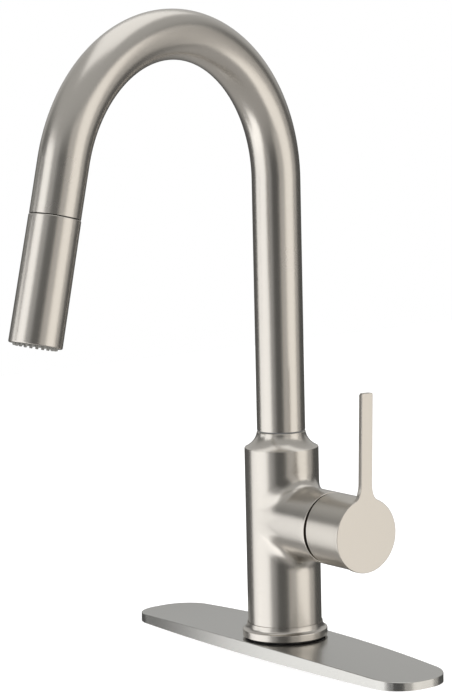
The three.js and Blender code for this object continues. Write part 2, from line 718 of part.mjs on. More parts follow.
function spoutPieces() {
  const grooveRadius = hubRadius - 1;
  const grooveLow = hubBottom + 0.9;
  const grooveHigh = grooveLow + 1.6;
  const hubTop = spoutBottom + HUB_LENGTH;
  const insideTube = spoutBore - FIT_GAP;
  const hub = turned([
    [hubBore, hubBottom],
    [hubRadius, hubBottom],
    [hubRadius, grooveLow],
    [grooveRadius, grooveLow],
    [grooveRadius, grooveHigh],
    [hubRadius, grooveHigh],
    [hubRadius, spoutBottom],
    [insideTube, spoutBottom + FIT_GAP],
    [insideTube, hubTop],
    [hubBore + 2, hubTop],
    [hubBore, hubTop - 2],
  ]);
  const clipShape = new THREE.Shape();
  const clipOuter = neckBore + 1.2;
  const clipInner = grooveRadius + 0.2;
  const opening = degrees(35);
  clipShape.absarc(0, 0, clipOuter, opening, Math.PI * 2 - opening, false);
  clipShape.absarc(0, 0, clipInner, Math.PI * 2 - opening, opening, true);
  const clip = raised(clipShape, grooveLow + FIT_GAP, grooveHigh - FIT_GAP, 10);
  const oRing = (low) => ring(hubRadius + 0.2, neckBore - FIT_GAP, low, low + 2.4);

  const path = new Gooseneck(spoutBottom, DROP_LENGTH, 20);
  return [
    piece("spout_tube", bent(path, TUBE_OUTER, spoutBore, 24), brushedNickel),
    piece("spout_hub", hub, brass),
    piece("spout_clip", clip, steel),
    piece("swivel_o_ring_upper", oRing(bearingBottom - 13.5), darkRubber),
    piece("swivel_o_ring_lower", oRing(NECK_SEAT + 8.8), darkRubber),
  ];
}

function sprayHose() {
  const dropLength = DROP_LENGTH - NECK_LENGTH - 5 - FIT_GAP;
  const path = new Gooseneck(HOSE_BOTTOM, dropLength, 20);
  const top = HOSE_BOTTOM - FIT_GAP;
  const connector = turned([
    [0, top - CONNECTOR_LENGTH],
    [CONNECTOR_RADIUS, top - CONNECTOR_LENGTH],
    [CONNECTOR_RADIUS, top - 5],
    [HOSE_RADIUS + 1, top - 3],
    [HOSE_RADIUS + 1, top],
    [0, top],
  ]);
  return [
    piece("spray_hose", bent(path, HOSE_RADIUS, 0, 10), braid),
    piece("hose_quick_connector", connector, greyPlastic),
  ];
}

// ---- Spray head, built in a frame whose +Z is the direction in which it pulls out -------

const dockRadius = spoutBore - RUN_GAP;

function dockPieces() {
  const magnetInner = coreNeckRadius + 2.1;
  const guide = turned([
    [coreNeckRadius + 0.9, -NECK_LENGTH - 2],
    [dockRadius, -NECK_LENGTH - 2],
    [dockRadius, -8],
    [coreNeckRadius + 2.1, -8],
    [coreNeckRadius + 0.9, -11],
  ]);
  return [
    piece("dock_guide", guide, greyPlastic),
    piece("dock_magnet", ring(magnetInner, dockRadius, -8 + FIT_GAP, -1.2), magnetNickel),
  ];
}

function hoseEndPieces() {
  const start = -NECK_LENGTH - 5;
  const outer = fittingRadius;
  const groove = start + FITTING_LENGTH - 4;
  const fitting = turned([
    [3.4, start],
    [outer, start],
    [outer, groove],
    [outer - 1.2, groove],
    [outer - 1.2, groove + 2.4],
    [outer, groove + 2.4],
    [outer, start + FITTING_LENGTH],
    [3.4, start + FITTING_LENGTH],
  ]);
  const oRing = ring(outer - 1, outer, groove + 0.3, groove + 2.1);
  return [
    piece("hose_end_fitting", fitting, brass),
    piece("fitting_o_ring", oRing, darkRubber),
  ];
}

// Radius of the head's outside at a distance along its axis
const headRadius = (along) =>
  HEAD_TOP_RADIUS + ((HEAD_END_RADIUS - HEAD_TOP_RADIUS) * along) / HEAD_LENGTH;

const coreStart = 2.2;
const coreEnd = coreStart + CORE_LENGTH;
const faceStart = coreEnd + 2.6;

function wandPieces() {
  const waterway = 4.6;
  const fittingBore = fittingRadius + RUN_GAP;
  const fittingSeat = -5 + FITTING_LENGTH - NECK_LENGTH + RUN_GAP;
  const coreRadius = HEAD_TOP_RADIUS - HEAD_WALL - FIT_GAP;
  const core = turned([
    [fittingBore, -NECK_LENGTH],
    [coreNeckRadius, -NECK_LENGTH],
    [coreNeckRadius, coreStart],
    [coreRadius, coreStart],
    [coreRadius, coreEnd],
    [waterway, coreEnd],
    [waterway, fittingSeat],
    [fittingBore, fittingSeat],
  ]);
  const shell = turned([
    [coreNeckRadius + 2, HEAD_SEAM],
    [headRadius(0) - 0.5, HEAD_SEAM],
    [headRadius(0), HEAD_SEAM + 0.5],
    [headRadius(HEAD_LENGTH), HEAD_LENGTH],
    [headRadius(HEAD_LENGTH) - HEAD_WALL, HEAD_LENGTH],
    [headRadius(0) - HEAD_WALL, coreStart - FIT_GAP],
    [coreNeckRadius + 2, coreStart - FIT_GAP],
  ], 24);
  const valve = turned([
    [2, fittingSeat + 1],
    [waterway - FIT_GAP, fittingSeat + 1],
    [waterway - FIT_GAP, fittingSeat + 12],
    [1.2, fittingSeat + 12],
    [1.2, fittingSeat + 8],
  ]);
  const lockRing = ring(9, coreRadius + 0.1, coreEnd + FIT_GAP, coreEnd + 2.1);
  return [
    piece("wand_shell", shell, brushedNickel),
    piece("wand_core", core, greyPlastic),
    piece("dock_striker", ring(coreNeckRadius + 0.3, coreNeckRadius + 1.5, -7, -2.5), steel),
    piece("check_valve", valve, whitePlastic),
    piece("core_lock_ring", lockRing, greyPlastic),
  ];
}

function sprayFacePieces() {
  const outer = headRadius(0) - HEAD_WALL - RUN_GAP;
  const carrierStart = faceStart + 2.5 + FIT_GAP;
  const padStart = carrierStart + 7.4 + FIT_GAP;
  const padEnd = HEAD_LENGTH - 1.2;
  const padInner = AERATOR_RADIUS + 3.8;
  const nozzleCircle = outer - NOZZLE_RADIUS;

  const divertHoles = [0, Math.PI].map((angle) =>
    rod(1.8, faceStart - 1, faceStart + 4, BORED)
      .translate(PORT_CIRCLE * Math.cos(angle), PORT_CIRCLE * Math.sin(angle), 0),
  );
  const diverter = cut(rod(outer, faceStart, faceStart + 2.5), ...divertHoles);
  const carrier = ring(AERATOR_RADIUS + 0.4, outer, carrierStart, carrierStart + 7.4);

  const nozzles = Array.from({ length: NOZZLE_COUNT }, (_, index) => {
    const angle = (2 * Math.PI * index) / NOZZLE_COUNT;
    return turned([
      [0, padEnd - 0.5],
      [NOZZLE_RADIUS, padEnd - 0.5],
      [NOZZLE_RADIUS * 0.75, HEAD_LENGTH + NOZZLE_REACH],
      [0, HEAD_LENGTH + NOZZLE_REACH],
    ], 6).translate(nozzleCircle * Math.cos(angle), nozzleCircle * Math.sin(angle), 0);
  });
  const pad = joined(ring(padInner, outer, padStart, padEnd), ...nozzles);
  const plate = ring(AERATOR_RADIUS + 0.4, padInner - FIT_GAP, padStart, padEnd);
  const housingEnd = HEAD_LENGTH - 2.2;
  const aerator = turned([
    [AERATOR_RADIUS - 1, carrierStart + 1],
    [AERATOR_RADIUS, carrierStart + 1],
    [AERATOR_RADIUS, housingEnd],
    [AERATOR_RADIUS - 1.6, housingEnd],
    [AERATOR_RADIUS - 1.6, housingEnd - 1],
    [AERATOR_RADIUS - 1, housingEnd - 1],
  ]);
  const screen = rod(AERATOR_RADIUS - 1.3, housingEnd - 2.3, housingEnd - 1.3);
  return [
    piece("diverter_disc", diverter, ceramic),
    piece("face_carrier", carrier, greyPlastic),
    piece("nozzle_pad", pad, greyRubber),
    piece("face_plate", plate, greyPlastic),
    piece("aerator_housing", aerator, whitePlastic),
    piece("aerator_screen", screen, steel),
  ];
}

// ---- The faucet -------------------------------------------------------------------------

function barrelAssembly() {
  const turning = assembly(...cartridgeRotor(), ...cartridgeSlider(), ...handlePieces());
  turning.rotation.z = degrees(LEVER_TURN);
  const barrel = assembly(...cartridgeFixed(), turning);
  barrelFrame.decompose(barrel.position, barrel.quaternion, barrel.scale);
  return barrel;
}

function spoutAssembly() {
  const head = assembly(
    ...dockPieces(), ...hoseEndPieces(), ...wandPieces(), ...sprayFacePieces(),
  );
  head.position.copy(new Gooseneck(spoutBottom, DROP_LENGTH, 20).getPointAt(1));
  head.rotation.x = sweep;
  const spout = assembly(...spoutPieces(), ...sprayHose(), head);
  spout.rotation.z = degrees(SPOUT_TURN);
  return spout;
}

const faucet = assembly(
  deckPlate(),
  plateUnderlay(),
  deckGasket(),
  baseSeal(),
  baseRing(),
  bodyShell(),
  valveBlock(),
  ...waterTubes(),
  mountingShank(),
  ...mountingHardware(),
  ...spoutBearings(),
  barrelAssembly(),
  spoutAssembly(),
);
faucet.name = "pull_down_kitchen_faucet";

export default faucet;
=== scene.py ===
"""Pull-down kitchen faucet in satin nickel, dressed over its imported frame.

Each sub-assembly is a class: its sizes are fields, in metres, and its methods build meshes
and give them their finishes. Places come from the frame: the boxes of its nodes and the
positions and axes of its joints. Short offsets inside an outline break or round its corners.
"""

import json
import logging
import math
from collections.abc import Callable, Sequence
from dataclasses import dataclass, field
from enum import Enum

import bmesh
import bpy
from mathutils import Matrix, Vector


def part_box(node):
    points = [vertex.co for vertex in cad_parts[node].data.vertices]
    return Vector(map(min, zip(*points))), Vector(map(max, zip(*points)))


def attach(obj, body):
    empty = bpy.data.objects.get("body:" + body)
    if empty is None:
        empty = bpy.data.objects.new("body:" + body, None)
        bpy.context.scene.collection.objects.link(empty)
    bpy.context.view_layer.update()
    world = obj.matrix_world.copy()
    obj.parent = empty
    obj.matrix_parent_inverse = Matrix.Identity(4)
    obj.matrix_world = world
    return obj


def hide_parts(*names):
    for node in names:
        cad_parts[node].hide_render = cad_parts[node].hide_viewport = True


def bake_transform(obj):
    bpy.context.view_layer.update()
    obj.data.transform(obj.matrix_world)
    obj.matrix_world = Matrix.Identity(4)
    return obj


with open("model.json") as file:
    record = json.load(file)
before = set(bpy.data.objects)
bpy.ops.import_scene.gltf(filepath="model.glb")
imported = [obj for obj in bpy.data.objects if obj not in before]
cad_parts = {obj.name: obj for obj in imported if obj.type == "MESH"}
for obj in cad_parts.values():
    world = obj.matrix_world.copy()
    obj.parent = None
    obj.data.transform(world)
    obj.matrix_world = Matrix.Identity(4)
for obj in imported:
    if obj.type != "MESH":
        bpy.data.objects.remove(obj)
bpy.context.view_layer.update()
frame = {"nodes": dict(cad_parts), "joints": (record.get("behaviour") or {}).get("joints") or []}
JOINTS = {joint["name"]: joint for joint in frame["joints"]}

log = logging.getLogger("faucet")

Outline = Sequence[tuple[float, float]]
Pattern = Callable[[Vector], Vector]
Mesh = bmesh.types.BMesh
Point = bmesh.types.BMVert
Edge = bmesh.types.BMEdge
Part = Point | Edge | bmesh.types.BMFace

FIT = 0.0003  # gap between pieces that seat on or in each other
NEAR = 0.000001  # places this close are at the same level
SAME = 0.0000001  # points this close are one point
ROUNDED = math.radians(30)  # edges over this angle are rounded where a shape is softened
SHARP = math.radians(38)  # edges over this angle stay crisp
BRUSHING = "brushing"  # vertex attribute: the third number runs across the brush lines
HOSE_LAY = "hose_lay"  # vertex attribute: round the hose, then along it
WARM = (1.0, 0.965, 0.915)  # tint of the lamps on the handle's side


# ---- Writing shaders ------------------------------------------------------------------------


class Value:
    """A number that changes over a surface, used in ordinary sums."""

    def __init__(self, tree: "Shading", socket: bpy.types.NodeSocket) -> None:
        """Wraps one output socket of a tree."""
        self.tree = tree
        self.socket = socket

    def _sum(self, operation: str, first: "Value | float", second: "Value | float") -> "Value":
        """Adds one Math node and gives its result."""
        made = self.tree.node("ShaderNodeMath", {"operation": operation}, {0: first, 1: second})
        return Value(self.tree, made.outputs[0])

    def __add__(self, other: "Value | float") -> "Value":
        """self + other"""
        return self._sum("ADD", self, other)

    def __radd__(self, other: float) -> "Value":
        """other + self"""
        return self._sum("ADD", other, self)

    def __sub__(self, other: "Value | float") -> "Value":
        """self - other"""
        return self._sum("SUBTRACT", self, other)

    def __rsub__(self, other: float) -> "Value":
        """other - self"""
        return self._sum("SUBTRACT", other, self)

    def __mul__(self, other: "Value | float") -> "Value":
        """self * other"""
        return self._sum("MULTIPLY", self, other)

    def __rmul__(self, other: float) -> "Value":
        """other * self"""
        return self._sum("MULTIPLY", other, self)

    def wave(self) -> "Value":
        """The sine of this number."""
        return self._sum("SINE", self, 0.0)

    def size(self) -> "Value":
        """This number without its sign."""
        return self._sum("ABSOLUTE", self, 0.0)

    def eased(self, start: float, end: float) -> "Value":
        """Eases from 0 to 1 while this number goes from start to end.

        Args:
            start: Where the change begins.
            end: Where it is complete.

        Returns:
            The eased number.
        """
        made = self.tree.node(
            "ShaderNodeMapRange",
            {"interpolation_type": "SMOOTHSTEP"},
            {"Value": self, "From Min": start, "From Max": end, "To Min": 0.0, "To Max": 1.0},
        )
        return Value(self.tree, made.outputs[0])


Colour = tuple[float, float, float] | bpy.types.NodeSocket
Input = Value | bpy.types.NodeSocket | float | tuple[float, ...]


class Shading:
    """Writes the nodes of one tree."""

    def __init__(self, tree: bpy.types.NodeTree) -> None:
        """Starts an empty tree."""
        self.tree = tree
        tree.nodes.clear()

    def node(self, kind: str, settings: dict, inputs: dict[int | str, Input]) -> bpy.types.Node:
        """Adds any node.

        Args:
            kind: The node's type name.
            settings: Its properties, set first.
            inputs: What goes into its sockets, by name or number: a link or a constant.

        Returns:
            The node.
        """
        made = self.tree.nodes.new(kind)
        for key, setting in settings.items():
            setattr(made, key, setting)
        for key, given in inputs.items():
            if isinstance(given, Value):
                self.tree.links.new(given.socket, made.inputs[key])
            elif isinstance(given, bpy.types.NodeSocket):
                self.tree.links.new(given, made.inputs[key])
            else:
                made.inputs[key].default_value = given
        return made

    def object_place(self) -> bpy.types.NodeSocket:
        """The point's place on the piece, in metres."""
        return self.node("ShaderNodeTexCoord", {}, {}).outputs["Object"]

    def attribute(self, name: str) -> bpy.types.NodeSocket:
        """A vertex attribute's three numbers."""
        return self.node("ShaderNodeAttribute", {"attribute_name": name}, {}).outputs["Vector"]

    def part(self, vector: bpy.types.NodeSocket, axis: int) -> Value:
        """One of the three numbers of a vector."""
        return Value(self, self.node("ShaderNodeSeparateXYZ", {}, {0: vector}).outputs[axis])

    def stretched(
        self, vector: bpy.types.NodeSocket, by: tuple[float, float, float]
    ) -> bpy.types.NodeSocket:
        """A vector multiplied along each axis."""
        made = self.node("ShaderNodeVectorMath", {"operation": "MULTIPLY"}, {0: vector, 1: by})
        return made.outputs[0]

    def noise(self, vector: bpy.types.NodeSocket, scale: float, detail: float = 2.0) -> Value:
        """Soft noise from 0 to 1.

        Args:
            vector: Where it is read.
            scale: Lumps in a metre.
            detail: How many finer layers it has.

        Returns:
            The noise.
        """
        made = self.node(
            "ShaderNodeTexNoise", {}, {"Vector": vector, "Scale": scale, "Detail": detail}
        )
        return Value(self, made.outputs[0])

    def mixed(self, share: Value, low: Colour, high: Colour) -> bpy.types.NodeSocket:
        """Two colours, constant or linked, mixed.

        Args:
            share: How much of the second, from 0 to 1.
            low: The first colour.
            high: The second colour.

        Returns:
            The mixed colour.
        """
        low, high = ((*c, 1.0) if isinstance(c, tuple) else c for c in (low, high))
        made = self.node("ShaderNodeMix", {"data_type": "RGBA"}, {0: share, 6: low, 7: high})
        return made.outputs[2]

    def relief(self, height: Value, depth: float) -> bpy.types.NodeSocket:
        """The surface's direction over a relief.

        Args:
            height: The relief, from 0 to 1.
            depth: Its depth in metres.

        Returns:
            The direction.
        """
        inputs = {"Height": height, "Distance": depth, "Strength": 1.0}
        return self.node("ShaderNodeBump", {}, inputs).outputs["Normal"]

    def surface(self, **inputs: Input) -> None:
        """Ends a material's tree with one surface.

        Args:
            inputs: What goes into its sockets, named with _ for a space.
        """
        names = {key: key.replace("_", " ").replace("Ior", "IOR") for key in inputs}
        named = {names[key]: given for key, given in inputs.items()}
        shader = self.node("ShaderNodeBsdfPrincipled", {}, named)
        self.node("ShaderNodeOutputMaterial", {}, {"Surface": shader.outputs[0]})


def material_tree(name: str) -> tuple[bpy.types.Material, Shading]:
    """Starts a material.

    Args:
        name: Its name.

    Returns:
        The material, and what writes its nodes.
    """
    material = bpy.data.materials.new(name)
    material.use_nodes = True
    return material, Shading(material.node_tree)


# ---- Finishes -------------------------------------------------------------------------------


@dataclass(frozen=True)
class SatinNickel:
    """Nickel plate rubbed with a fine abrasive: soft streaks, even colour, faint lines."""

    name: str
    dark: tuple[float, float, float] = (0.545, 0.515, 0.475)
    light: tuple[float, float, float] = (0.600, 0.572, 0.532)
    roughness: float = 0.27
    spread: float = 0.02
    line_pitch: float = 0.00022
    line_depth: float = 0.0000001
    line_change: float = 0.02  # how fast the lines change along their length
    cloud_scale: float = 38.0

    def dress(self) -> bpy.types.Material:
        """Makes the material.

        Returns:
            The material.
        """
        material, tree = material_tree(self.name)
        lay = tree.attribute(BRUSHING)
        across = tree.stretched(lay, (self.line_change, self.line_change, 1.0))
        lines = tree.noise(across, 1.0 / self.line_pitch, 3.0)
        cloud = tree.noise(lay, self.cloud_scale, 3.0)
        tree.surface(
            Base_Color=tree.mixed(lines * 0.5 + cloud * 0.5, self.dark, self.light),
            Metallic=1.0,
            Roughness=self.roughness + self.spread * (cloud - 0.5),
            Normal=tree.relief(lines, self.line_depth),
        )
        return material


@dataclass(frozen=True)
class TurnedMetal:
    """Machined brass or steel: tool marks and slight tarnish."""

    name: str
    dark: tuple[float, float, float]
    light: tuple[float, float, float]
    roughness: float = 0.3
    mark_scale: float = 3200.0
    mark_depth: float = 0.000006
    tarnish_scale: float = 90.0

    def dress(self) -> bpy.types.Material:
        """Makes the material.

        Returns:
            The material.
        """
        material, tree = material_tree(self.name)
        place = tree.object_place()
        marks = tree.noise(tree.stretched(place, (0.06, 0.06, 1.0)), self.mark_scale)
        tarnish = tree.noise(place, self.tarnish_scale, 4.0)
        tree.surface(
            Base_Color=tree.mixed(tarnish.eased(0.3, 0.7), self.dark, self.light),
            Metallic=1.0,
            Roughness=self.roughness + 0.14 * (tarnish - 0.5) + 0.08 * (marks - 0.5),
            Normal=tree.relief(marks, self.mark_depth),
        )
        return material


@dataclass(frozen=True)
class Moulded:
    """Moulded plastic, rubber or pressed ceramic: a fine even grain."""

    name: str
    dark: tuple[float, float, float]
    light: tuple[float, float, float]
    roughness: float
    grain: float = 2400.0
    depth: float = 0.000012
    patch_scale: float = 70.0

    def dress(self) -> bpy.types.Material:
        """Makes the material.

        Returns:
            The material.
        """
        material, tree = material_tree(self.name)
        place = tree.object_place()
        grain = tree.noise(place, self.grain)
        patches = tree.noise(place, self.patch_scale, 3.0)
        share = patches.eased(0.3, 0.7) * 0.7 + grain * 0.3
        tree.surface(
            Base_Color=tree.mixed(share, self.dark, self.light),
            Roughness=self.roughness + 0.1 * (patches - 0.5) + 0.08 * (grain - 0.5),
            Normal=tree.relief(grain, self.depth),
        )
        return material


@dataclass(frozen=True)
class Braid:
    """Woven nylon sleeve of the hose: two sets of strands wound against each other, with painted
    shade in the hollows of the weave and a painted highlight on the strands' crowns.
    """

    name: str
    dark: tuple[float, float, float] = (0.035, 0.036, 0.038)
    light: tuple[float, float, float] = (0.20, 0.205, 0.21)
    strands: int = 18
    pitch: float = 0.0042
    depth: float = 0.0003

    def dress(self) -> bpy.types.Material:
        """Makes the material.

        Returns:
            The material.
        """
        material, tree = material_tree(self.name)
        lay = tree.attribute(HOSE_LAY)
        around = tree.part(lay, 0) * float(self.strands)
        along = tree.part(lay, 1) * (2.0 * math.pi / self.pitch)
        one = (around + along).wave()
        other = (around - along).wave()
        over = (one * other).eased(-0.7, 0.7)
        threads = (along * 5.0 + around).wave().size()
        height = over * 0.75 + threads * 0.25
        tree.surface(
            # painted shade and highlight: the colour follows the weave's height, dark where it
            # lies low and light on the crowns
            Base_Color=tree.mixed(height, self.dark, self.light),
            Roughness=0.62 - 0.18 * over,
            Sheen_Weight=0.25,
            Normal=tree.relief(height, self.depth),
        )
        return material


@dataclass(frozen=True)
class WireScreen:
    """Stainless mesh of the aerator: woven wires, with the holes between them painted near black
    as painted shade.
    """

    name: str
    wires: float = 1250.0  # in a metre
    depth: float = 0.00015

    def dress(self) -> bpy.types.Material:
        """Makes the material.

        Returns:
            The material.
        """
        material, tree = material_tree(self.name)
        place = tree.object_place()
        one, other = (
            (tree.part(place, axis) * (self.wires * math.pi)).wave().size() for axis in (0, 1)
        )
        wire = (1.0 - one * other).eased(0.45, 0.75)
        tree.surface(
            # painted shade: the holes between the wires are painted near black
            Base_Color=tree.mixed(wire, (0.02, 0.02, 0.02), (0.62, 0.61, 0.6)),
            Metallic=wire,
            Roughness=0.55 - 0.2 * wire,
            Normal=tree.relief(wire, self.depth),
        )
        return material


@dataclass(frozen=True)
class Backdrop:
    """Matt white paper under and behind the faucet."""

    name: str = "white_paper"
    fibre_scale: float = 900.0
    glow: float = 0.22

    def dress(self) -> bpy.types.Material:
        """Makes the material.

        Returns:
            The material.
        """
        material, tree = material_tree(self.name)
        fibre = tree.noise(tree.object_place(), self.fibre_scale)
        tree.surface(
            Base_Color=tree.mixed(fibre, (0.93, 0.93, 0.93), (0.95, 0.95, 0.95)),
            Roughness=0.9,
            Specular_Ior_Level=0.1,
            Emission_Color=(1.0, 1.0, 1.0, 1.0),
            Emission_Strength=self.glow,
        )
        return material


class Finish(Enum):
    """The faucet's finishes. Each is named after the record's slot, or after its piece."""

    brushed_nickel = SatinNickel("brushed_nickel")
    handle_nickel = SatinNickel(
        "handle_nickel", (0.548, 0.517, 0.470), (0.596, 0.566, 0.522), 0.30
    )
    plate_nickel = SatinNickel(
        "plate_nickel", (0.51, 0.505, 0.485), (0.56, 0.552, 0.53), 0.25, 0.03, 0.0005
    )
    brass = TurnedMetal("brass", (0.50, 0.31, 0.10), (0.66, 0.44, 0.17))
    steel = TurnedMetal("steel", (0.46, 0.46, 0.46), (0.60, 0.60, 0.59))
    magnet = TurnedMetal("magnet", (0.32, 0.32, 0.33), (0.42, 0.42, 0.43), 0.24)
    dark_rubber = Moulded("dark_rubber", (0.012, 0.012, 0.012), (0.03, 0.029, 0.028), 0.75)
    grey_rubber = Moulded(
        "grey_rubber", (0.15, 0.146, 0.135), (0.20, 0.195, 0.18), 0.62, 1800.0
    )
    white_plastic = Moulded("white_plastic", (0.70, 0.69, 0.66), (0.80, 0.79, 0.76), 0.42)
    grey_plastic = Moulded("grey_plastic", (0.13, 0.13, 0.13), (0.19, 0.19, 0.188), 0.46)
    ceramic = Moulded(
        "ceramic", (0.80, 0.78, 0.74), (0.88, 0.87, 0.84), 0.18, 5200.0, 0.000003
    )
    braid = Braid("braid")
    wire_screen = WireScreen("wire_screen")

    @property
    def material(self) -> bpy.types.Material:
        """The finish's material, made when it is first asked for."""
        return bpy.data.materials.get(f"{self.name}_finish") or self._made()

    def _made(self) -> bpy.types.Material:
        """Makes the material under its own name.

        Returns:
            The material.
        """
        material = self.value.dress()
        material.name = f"{self.name}_finish"
        return material


# ---- Shaping meshes -------------------------------------------------------------------------


def whole(mesh: Mesh) -> list[Part]:
    """All points, edges and faces of a mesh."""
    return mesh.verts[:] + mesh.edges[:] + mesh.faces[:]


def points_of(parts: Sequence[Part]) -> list[Point]:
    """The points among an operator's results."""
    return [part for part in parts if isinstance(part, Point)]


def outer_rims(mesh: Mesh) -> list[Edge]:
    """Edges that have a face on one side only."""
    return [edge for edge in mesh.edges if len(edge.link_faces) == 1]


def bevel(
    mesh: Mesh,
    parts: Sequence[Part],
    radius: float,
    segments: int,
    affect: str = "EDGES",
    clamp: bool = True,
) -> None:
    """Rounds edges or corners.

    Args:
        mesh: The mesh.
        parts: Its edges, or the points of its corners.
        radius: How far the rounding reaches.
        segments: Its steps.
        affect: EDGES or VERTICES.
        clamp: True to stop where two roundings meet.
    """
    bmesh.ops.bevel(
        mesh,
        geom=parts,
        offset=radius,
        segments=segments,
        profile=0.5,
        affect=affect,
        material=-1,
        clamp_overlap=clamp,
    )


def soften(mesh: Mesh, radius: float, segments: int = 3) -> None:
    """Rounds every edge that turns by more than ROUNDED.

    Args:
        mesh: The mesh.
        radius: How far the rounding reaches.
        segments: Its steps.
    """
    sharp = [
        edge
        for edge in mesh.edges
        if len(edge.link_faces) == 2 and edge.calc_face_angle(0.0) > ROUNDED
    ]
    bevel(mesh, sharp, radius, segments)


def row(mesh: Mesh, outline: Outline, closed: bool = False) -> None:
    """Adds an outline's points in the XZ plane, each joined to the next.

    Args:
        mesh: The mesh.
        outline: The (radius, height) points.
        closed: True if the last point is joined to the first.
    """
    points = [mesh.verts.new((radius, 0.0, height)) for radius, height in outline]
    after = points[1:] + points[:1] if closed else points[1:]
    for one, other in zip(points, after):
        mesh.edges.new((one, other))


def spun(mesh: Mesh, steps: int) -> None:
    """Turns rows of edges once round the Z axis and closes the seam and the poles.

    Args:
        mesh: The mesh.
        steps: Steps of the turn.
    """
    bmesh.ops.spin(
        mesh,
        geom=mesh.verts[:] + mesh.edges[:],
        cent=(0, 0, 0),
        axis=(0, 0, 1),
        angle=2 * math.pi,
        steps=steps,
        use_merge=True,
    )
    bmesh.ops.remove_doubles(mesh, verts=mesh.verts[:], dist=SAME)


def raised(mesh: Mesh, height: float) -> None:
    """Draws a flat mesh up into a closed slab."""
    grown = bmesh.ops.extrude_face_region(mesh, geom=mesh.faces[:])["geom"]
    bmesh.ops.translate(mesh, vec=(0, 0, height), verts=points_of(grown))


def extended(mesh: Mesh, edges: Sequence[Edge], way: Sequence[float]) -> list[Part]:
    """Draws edges out into faces.

    Args:
        mesh: The mesh.
        edges: The edges.
        way: How far they go.

    Returns:
        The new parts.
    """
    grown = bmesh.ops.extrude_edge_only(mesh, edges=edges)["geom"]
    bmesh.ops.translate(mesh, vec=way, verts=points_of(grown))
    return grown


def face_out(mesh: Mesh) -> None:
    """Turns an open shell's faces outwards, as its highest face shows."""
    bmesh.ops.recalc_face_normals(mesh, faces=mesh.faces[:])
    if max(mesh.faces, key=lambda face: face.calc_center_median().z).normal.z < 0:
        bmesh.ops.reverse_faces(mesh, faces=mesh.faces[:])


def curve(
    start: tuple[float, float], bend: tuple[float, float], end: tuple[float, float], steps: int
) -> list[tuple[float, float]]:
    """Points of a hollow or rounded profile.

    Args:
        start: Where it starts.
        bend: The corner that both of its ends aim at.
        end: Where it ends.
        steps: Steps between the two.

    Returns:
        The points, with both ends.
    """
    made = []
    for step in range(steps + 1):
        t = step / steps
        one, two, three = (1 - t) ** 2, 2 * t * (1 - t), t**2
        made.append(tuple(one * a + two * b + three * c for a, b, c in zip(start, bend, end)))
    return made


# ---- Making pieces --------------------------------------------------------------------------


def placed(name: str, data: bpy.types.ID) -> bpy.types.Object:
    """Puts a new object in the scene, at the origin.

    Args:
        name: Its name.
        data: Its mesh, light or camera.

    Returns:
        The object.
    """
    made = bpy.data.objects.new(name, data)
    bpy.context.scene.collection.objects.link(made)
    return made


def round_lay(point: Vector) -> Vector:
    """Brush lines that run round the Z axis."""
    return Vector((point.x, point.y, point.z + math.hypot(point.x, point.y)))


def length_lay(point: Vector) -> Vector:
    """Brush lines that run along X."""
    return Vector((point.x, point.z, point.y))


def upright_lay(point: Vector) -> Vector:
    """Brush lines that run along Y."""
    return Vector((point.z, point.y, point.x))


@dataclass
class Form:
    """A shape in the making, in the frame of its own sub-assembly."""

    mesh: Mesh = field(default_factory=bmesh.new)

    def add(self, made: Mesh) -> "Form":
        """Joins a finished shell to this form.

        Args:
            made: The shell, which is used up.

        Returns:
            This form.
        """
        carrier = bpy.data.meshes.new("carrier")
        made.to_mesh(carrier)
        made.free()
        self.mesh.from_mesh(carrier)
        bpy.data.meshes.remove(carrier)
        return self

    def turned(
        self, outline: Outline, sides: int = 96, soft: float = 0.0, hollow: bool = True
    ) -> "Form":
        """Adds a solid of revolution about Z.

        Args:
            outline: Its (radius, height) points.
            sides: Steps of the turn.
            soft: Radius of its rounded edges.
            hollow: True if the outline closes on itself, False if it ends on the axis.

        Returns:
            This form.
        """
        made = bmesh.new()
        row(made, outline, hollow)
        spun(made, sides)
        bmesh.ops.recalc_face_normals(made, faces=made.faces[:])
        if soft:
            soften(made, soft)
        return self.add(made)

    def piece(
        self,
        name: str,
        body: str,
        finish: Finish,
        at: Matrix = Matrix.Identity(4),
        lay: Pattern = round_lay,
        stands_for: Sequence[str] = (),
        slot: str = "",
        attribute: str = BRUSHING,
    ) -> bpy.types.Object:
        """Makes the form a piece of the faucet.

        Args:
            name: The piece's name.
            body: The body it rides on, or "" if it rides on none.
            finish: Its finish.
            at: The frame that the form was built in.
            lay: Gives each point its pattern place, read in the form's own frame.
            stands_for: The CAD nodes that it replaces.
            slot: The record's slot, where it isn't the finish's name. Not used.
            attribute: The attribute that keeps the pattern place.

        Returns:
            The object.
        """
        mesh = bpy.data.meshes.new(name)
        for edge in self.mesh.edges:
            edge.smooth = len(edge.link_faces) == 2 and edge.calc_face_angle(0.0) < SHARP
        self.mesh.to_mesh(mesh)
        self.mesh.free()
        places = mesh.attributes.new(attribute, "FLOAT_VECTOR", "POINT")
        for vertex, place in zip(mesh.vertices, places.data):
            place.vector = lay(vertex.co)
        mesh.transform(at)
        for face in mesh.polygons:
            face.use_smooth = True
        mesh.materials.append(finish.material)
        made = placed(name, mesh)
        weighted = made.modifiers.new("even_shading", "WEIGHTED_NORMAL")
        weighted.keep_sharp = True
        if body:
            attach(made, body)
        if stands_for:
            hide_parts(*stands_for)
        slot or finish.name
        log.info("%s on %s: %d faces", name, body or "two bodies", len(mesh.polygons))
        return made


# ---- Deck plate and base ring ---------------------------------------------------------------


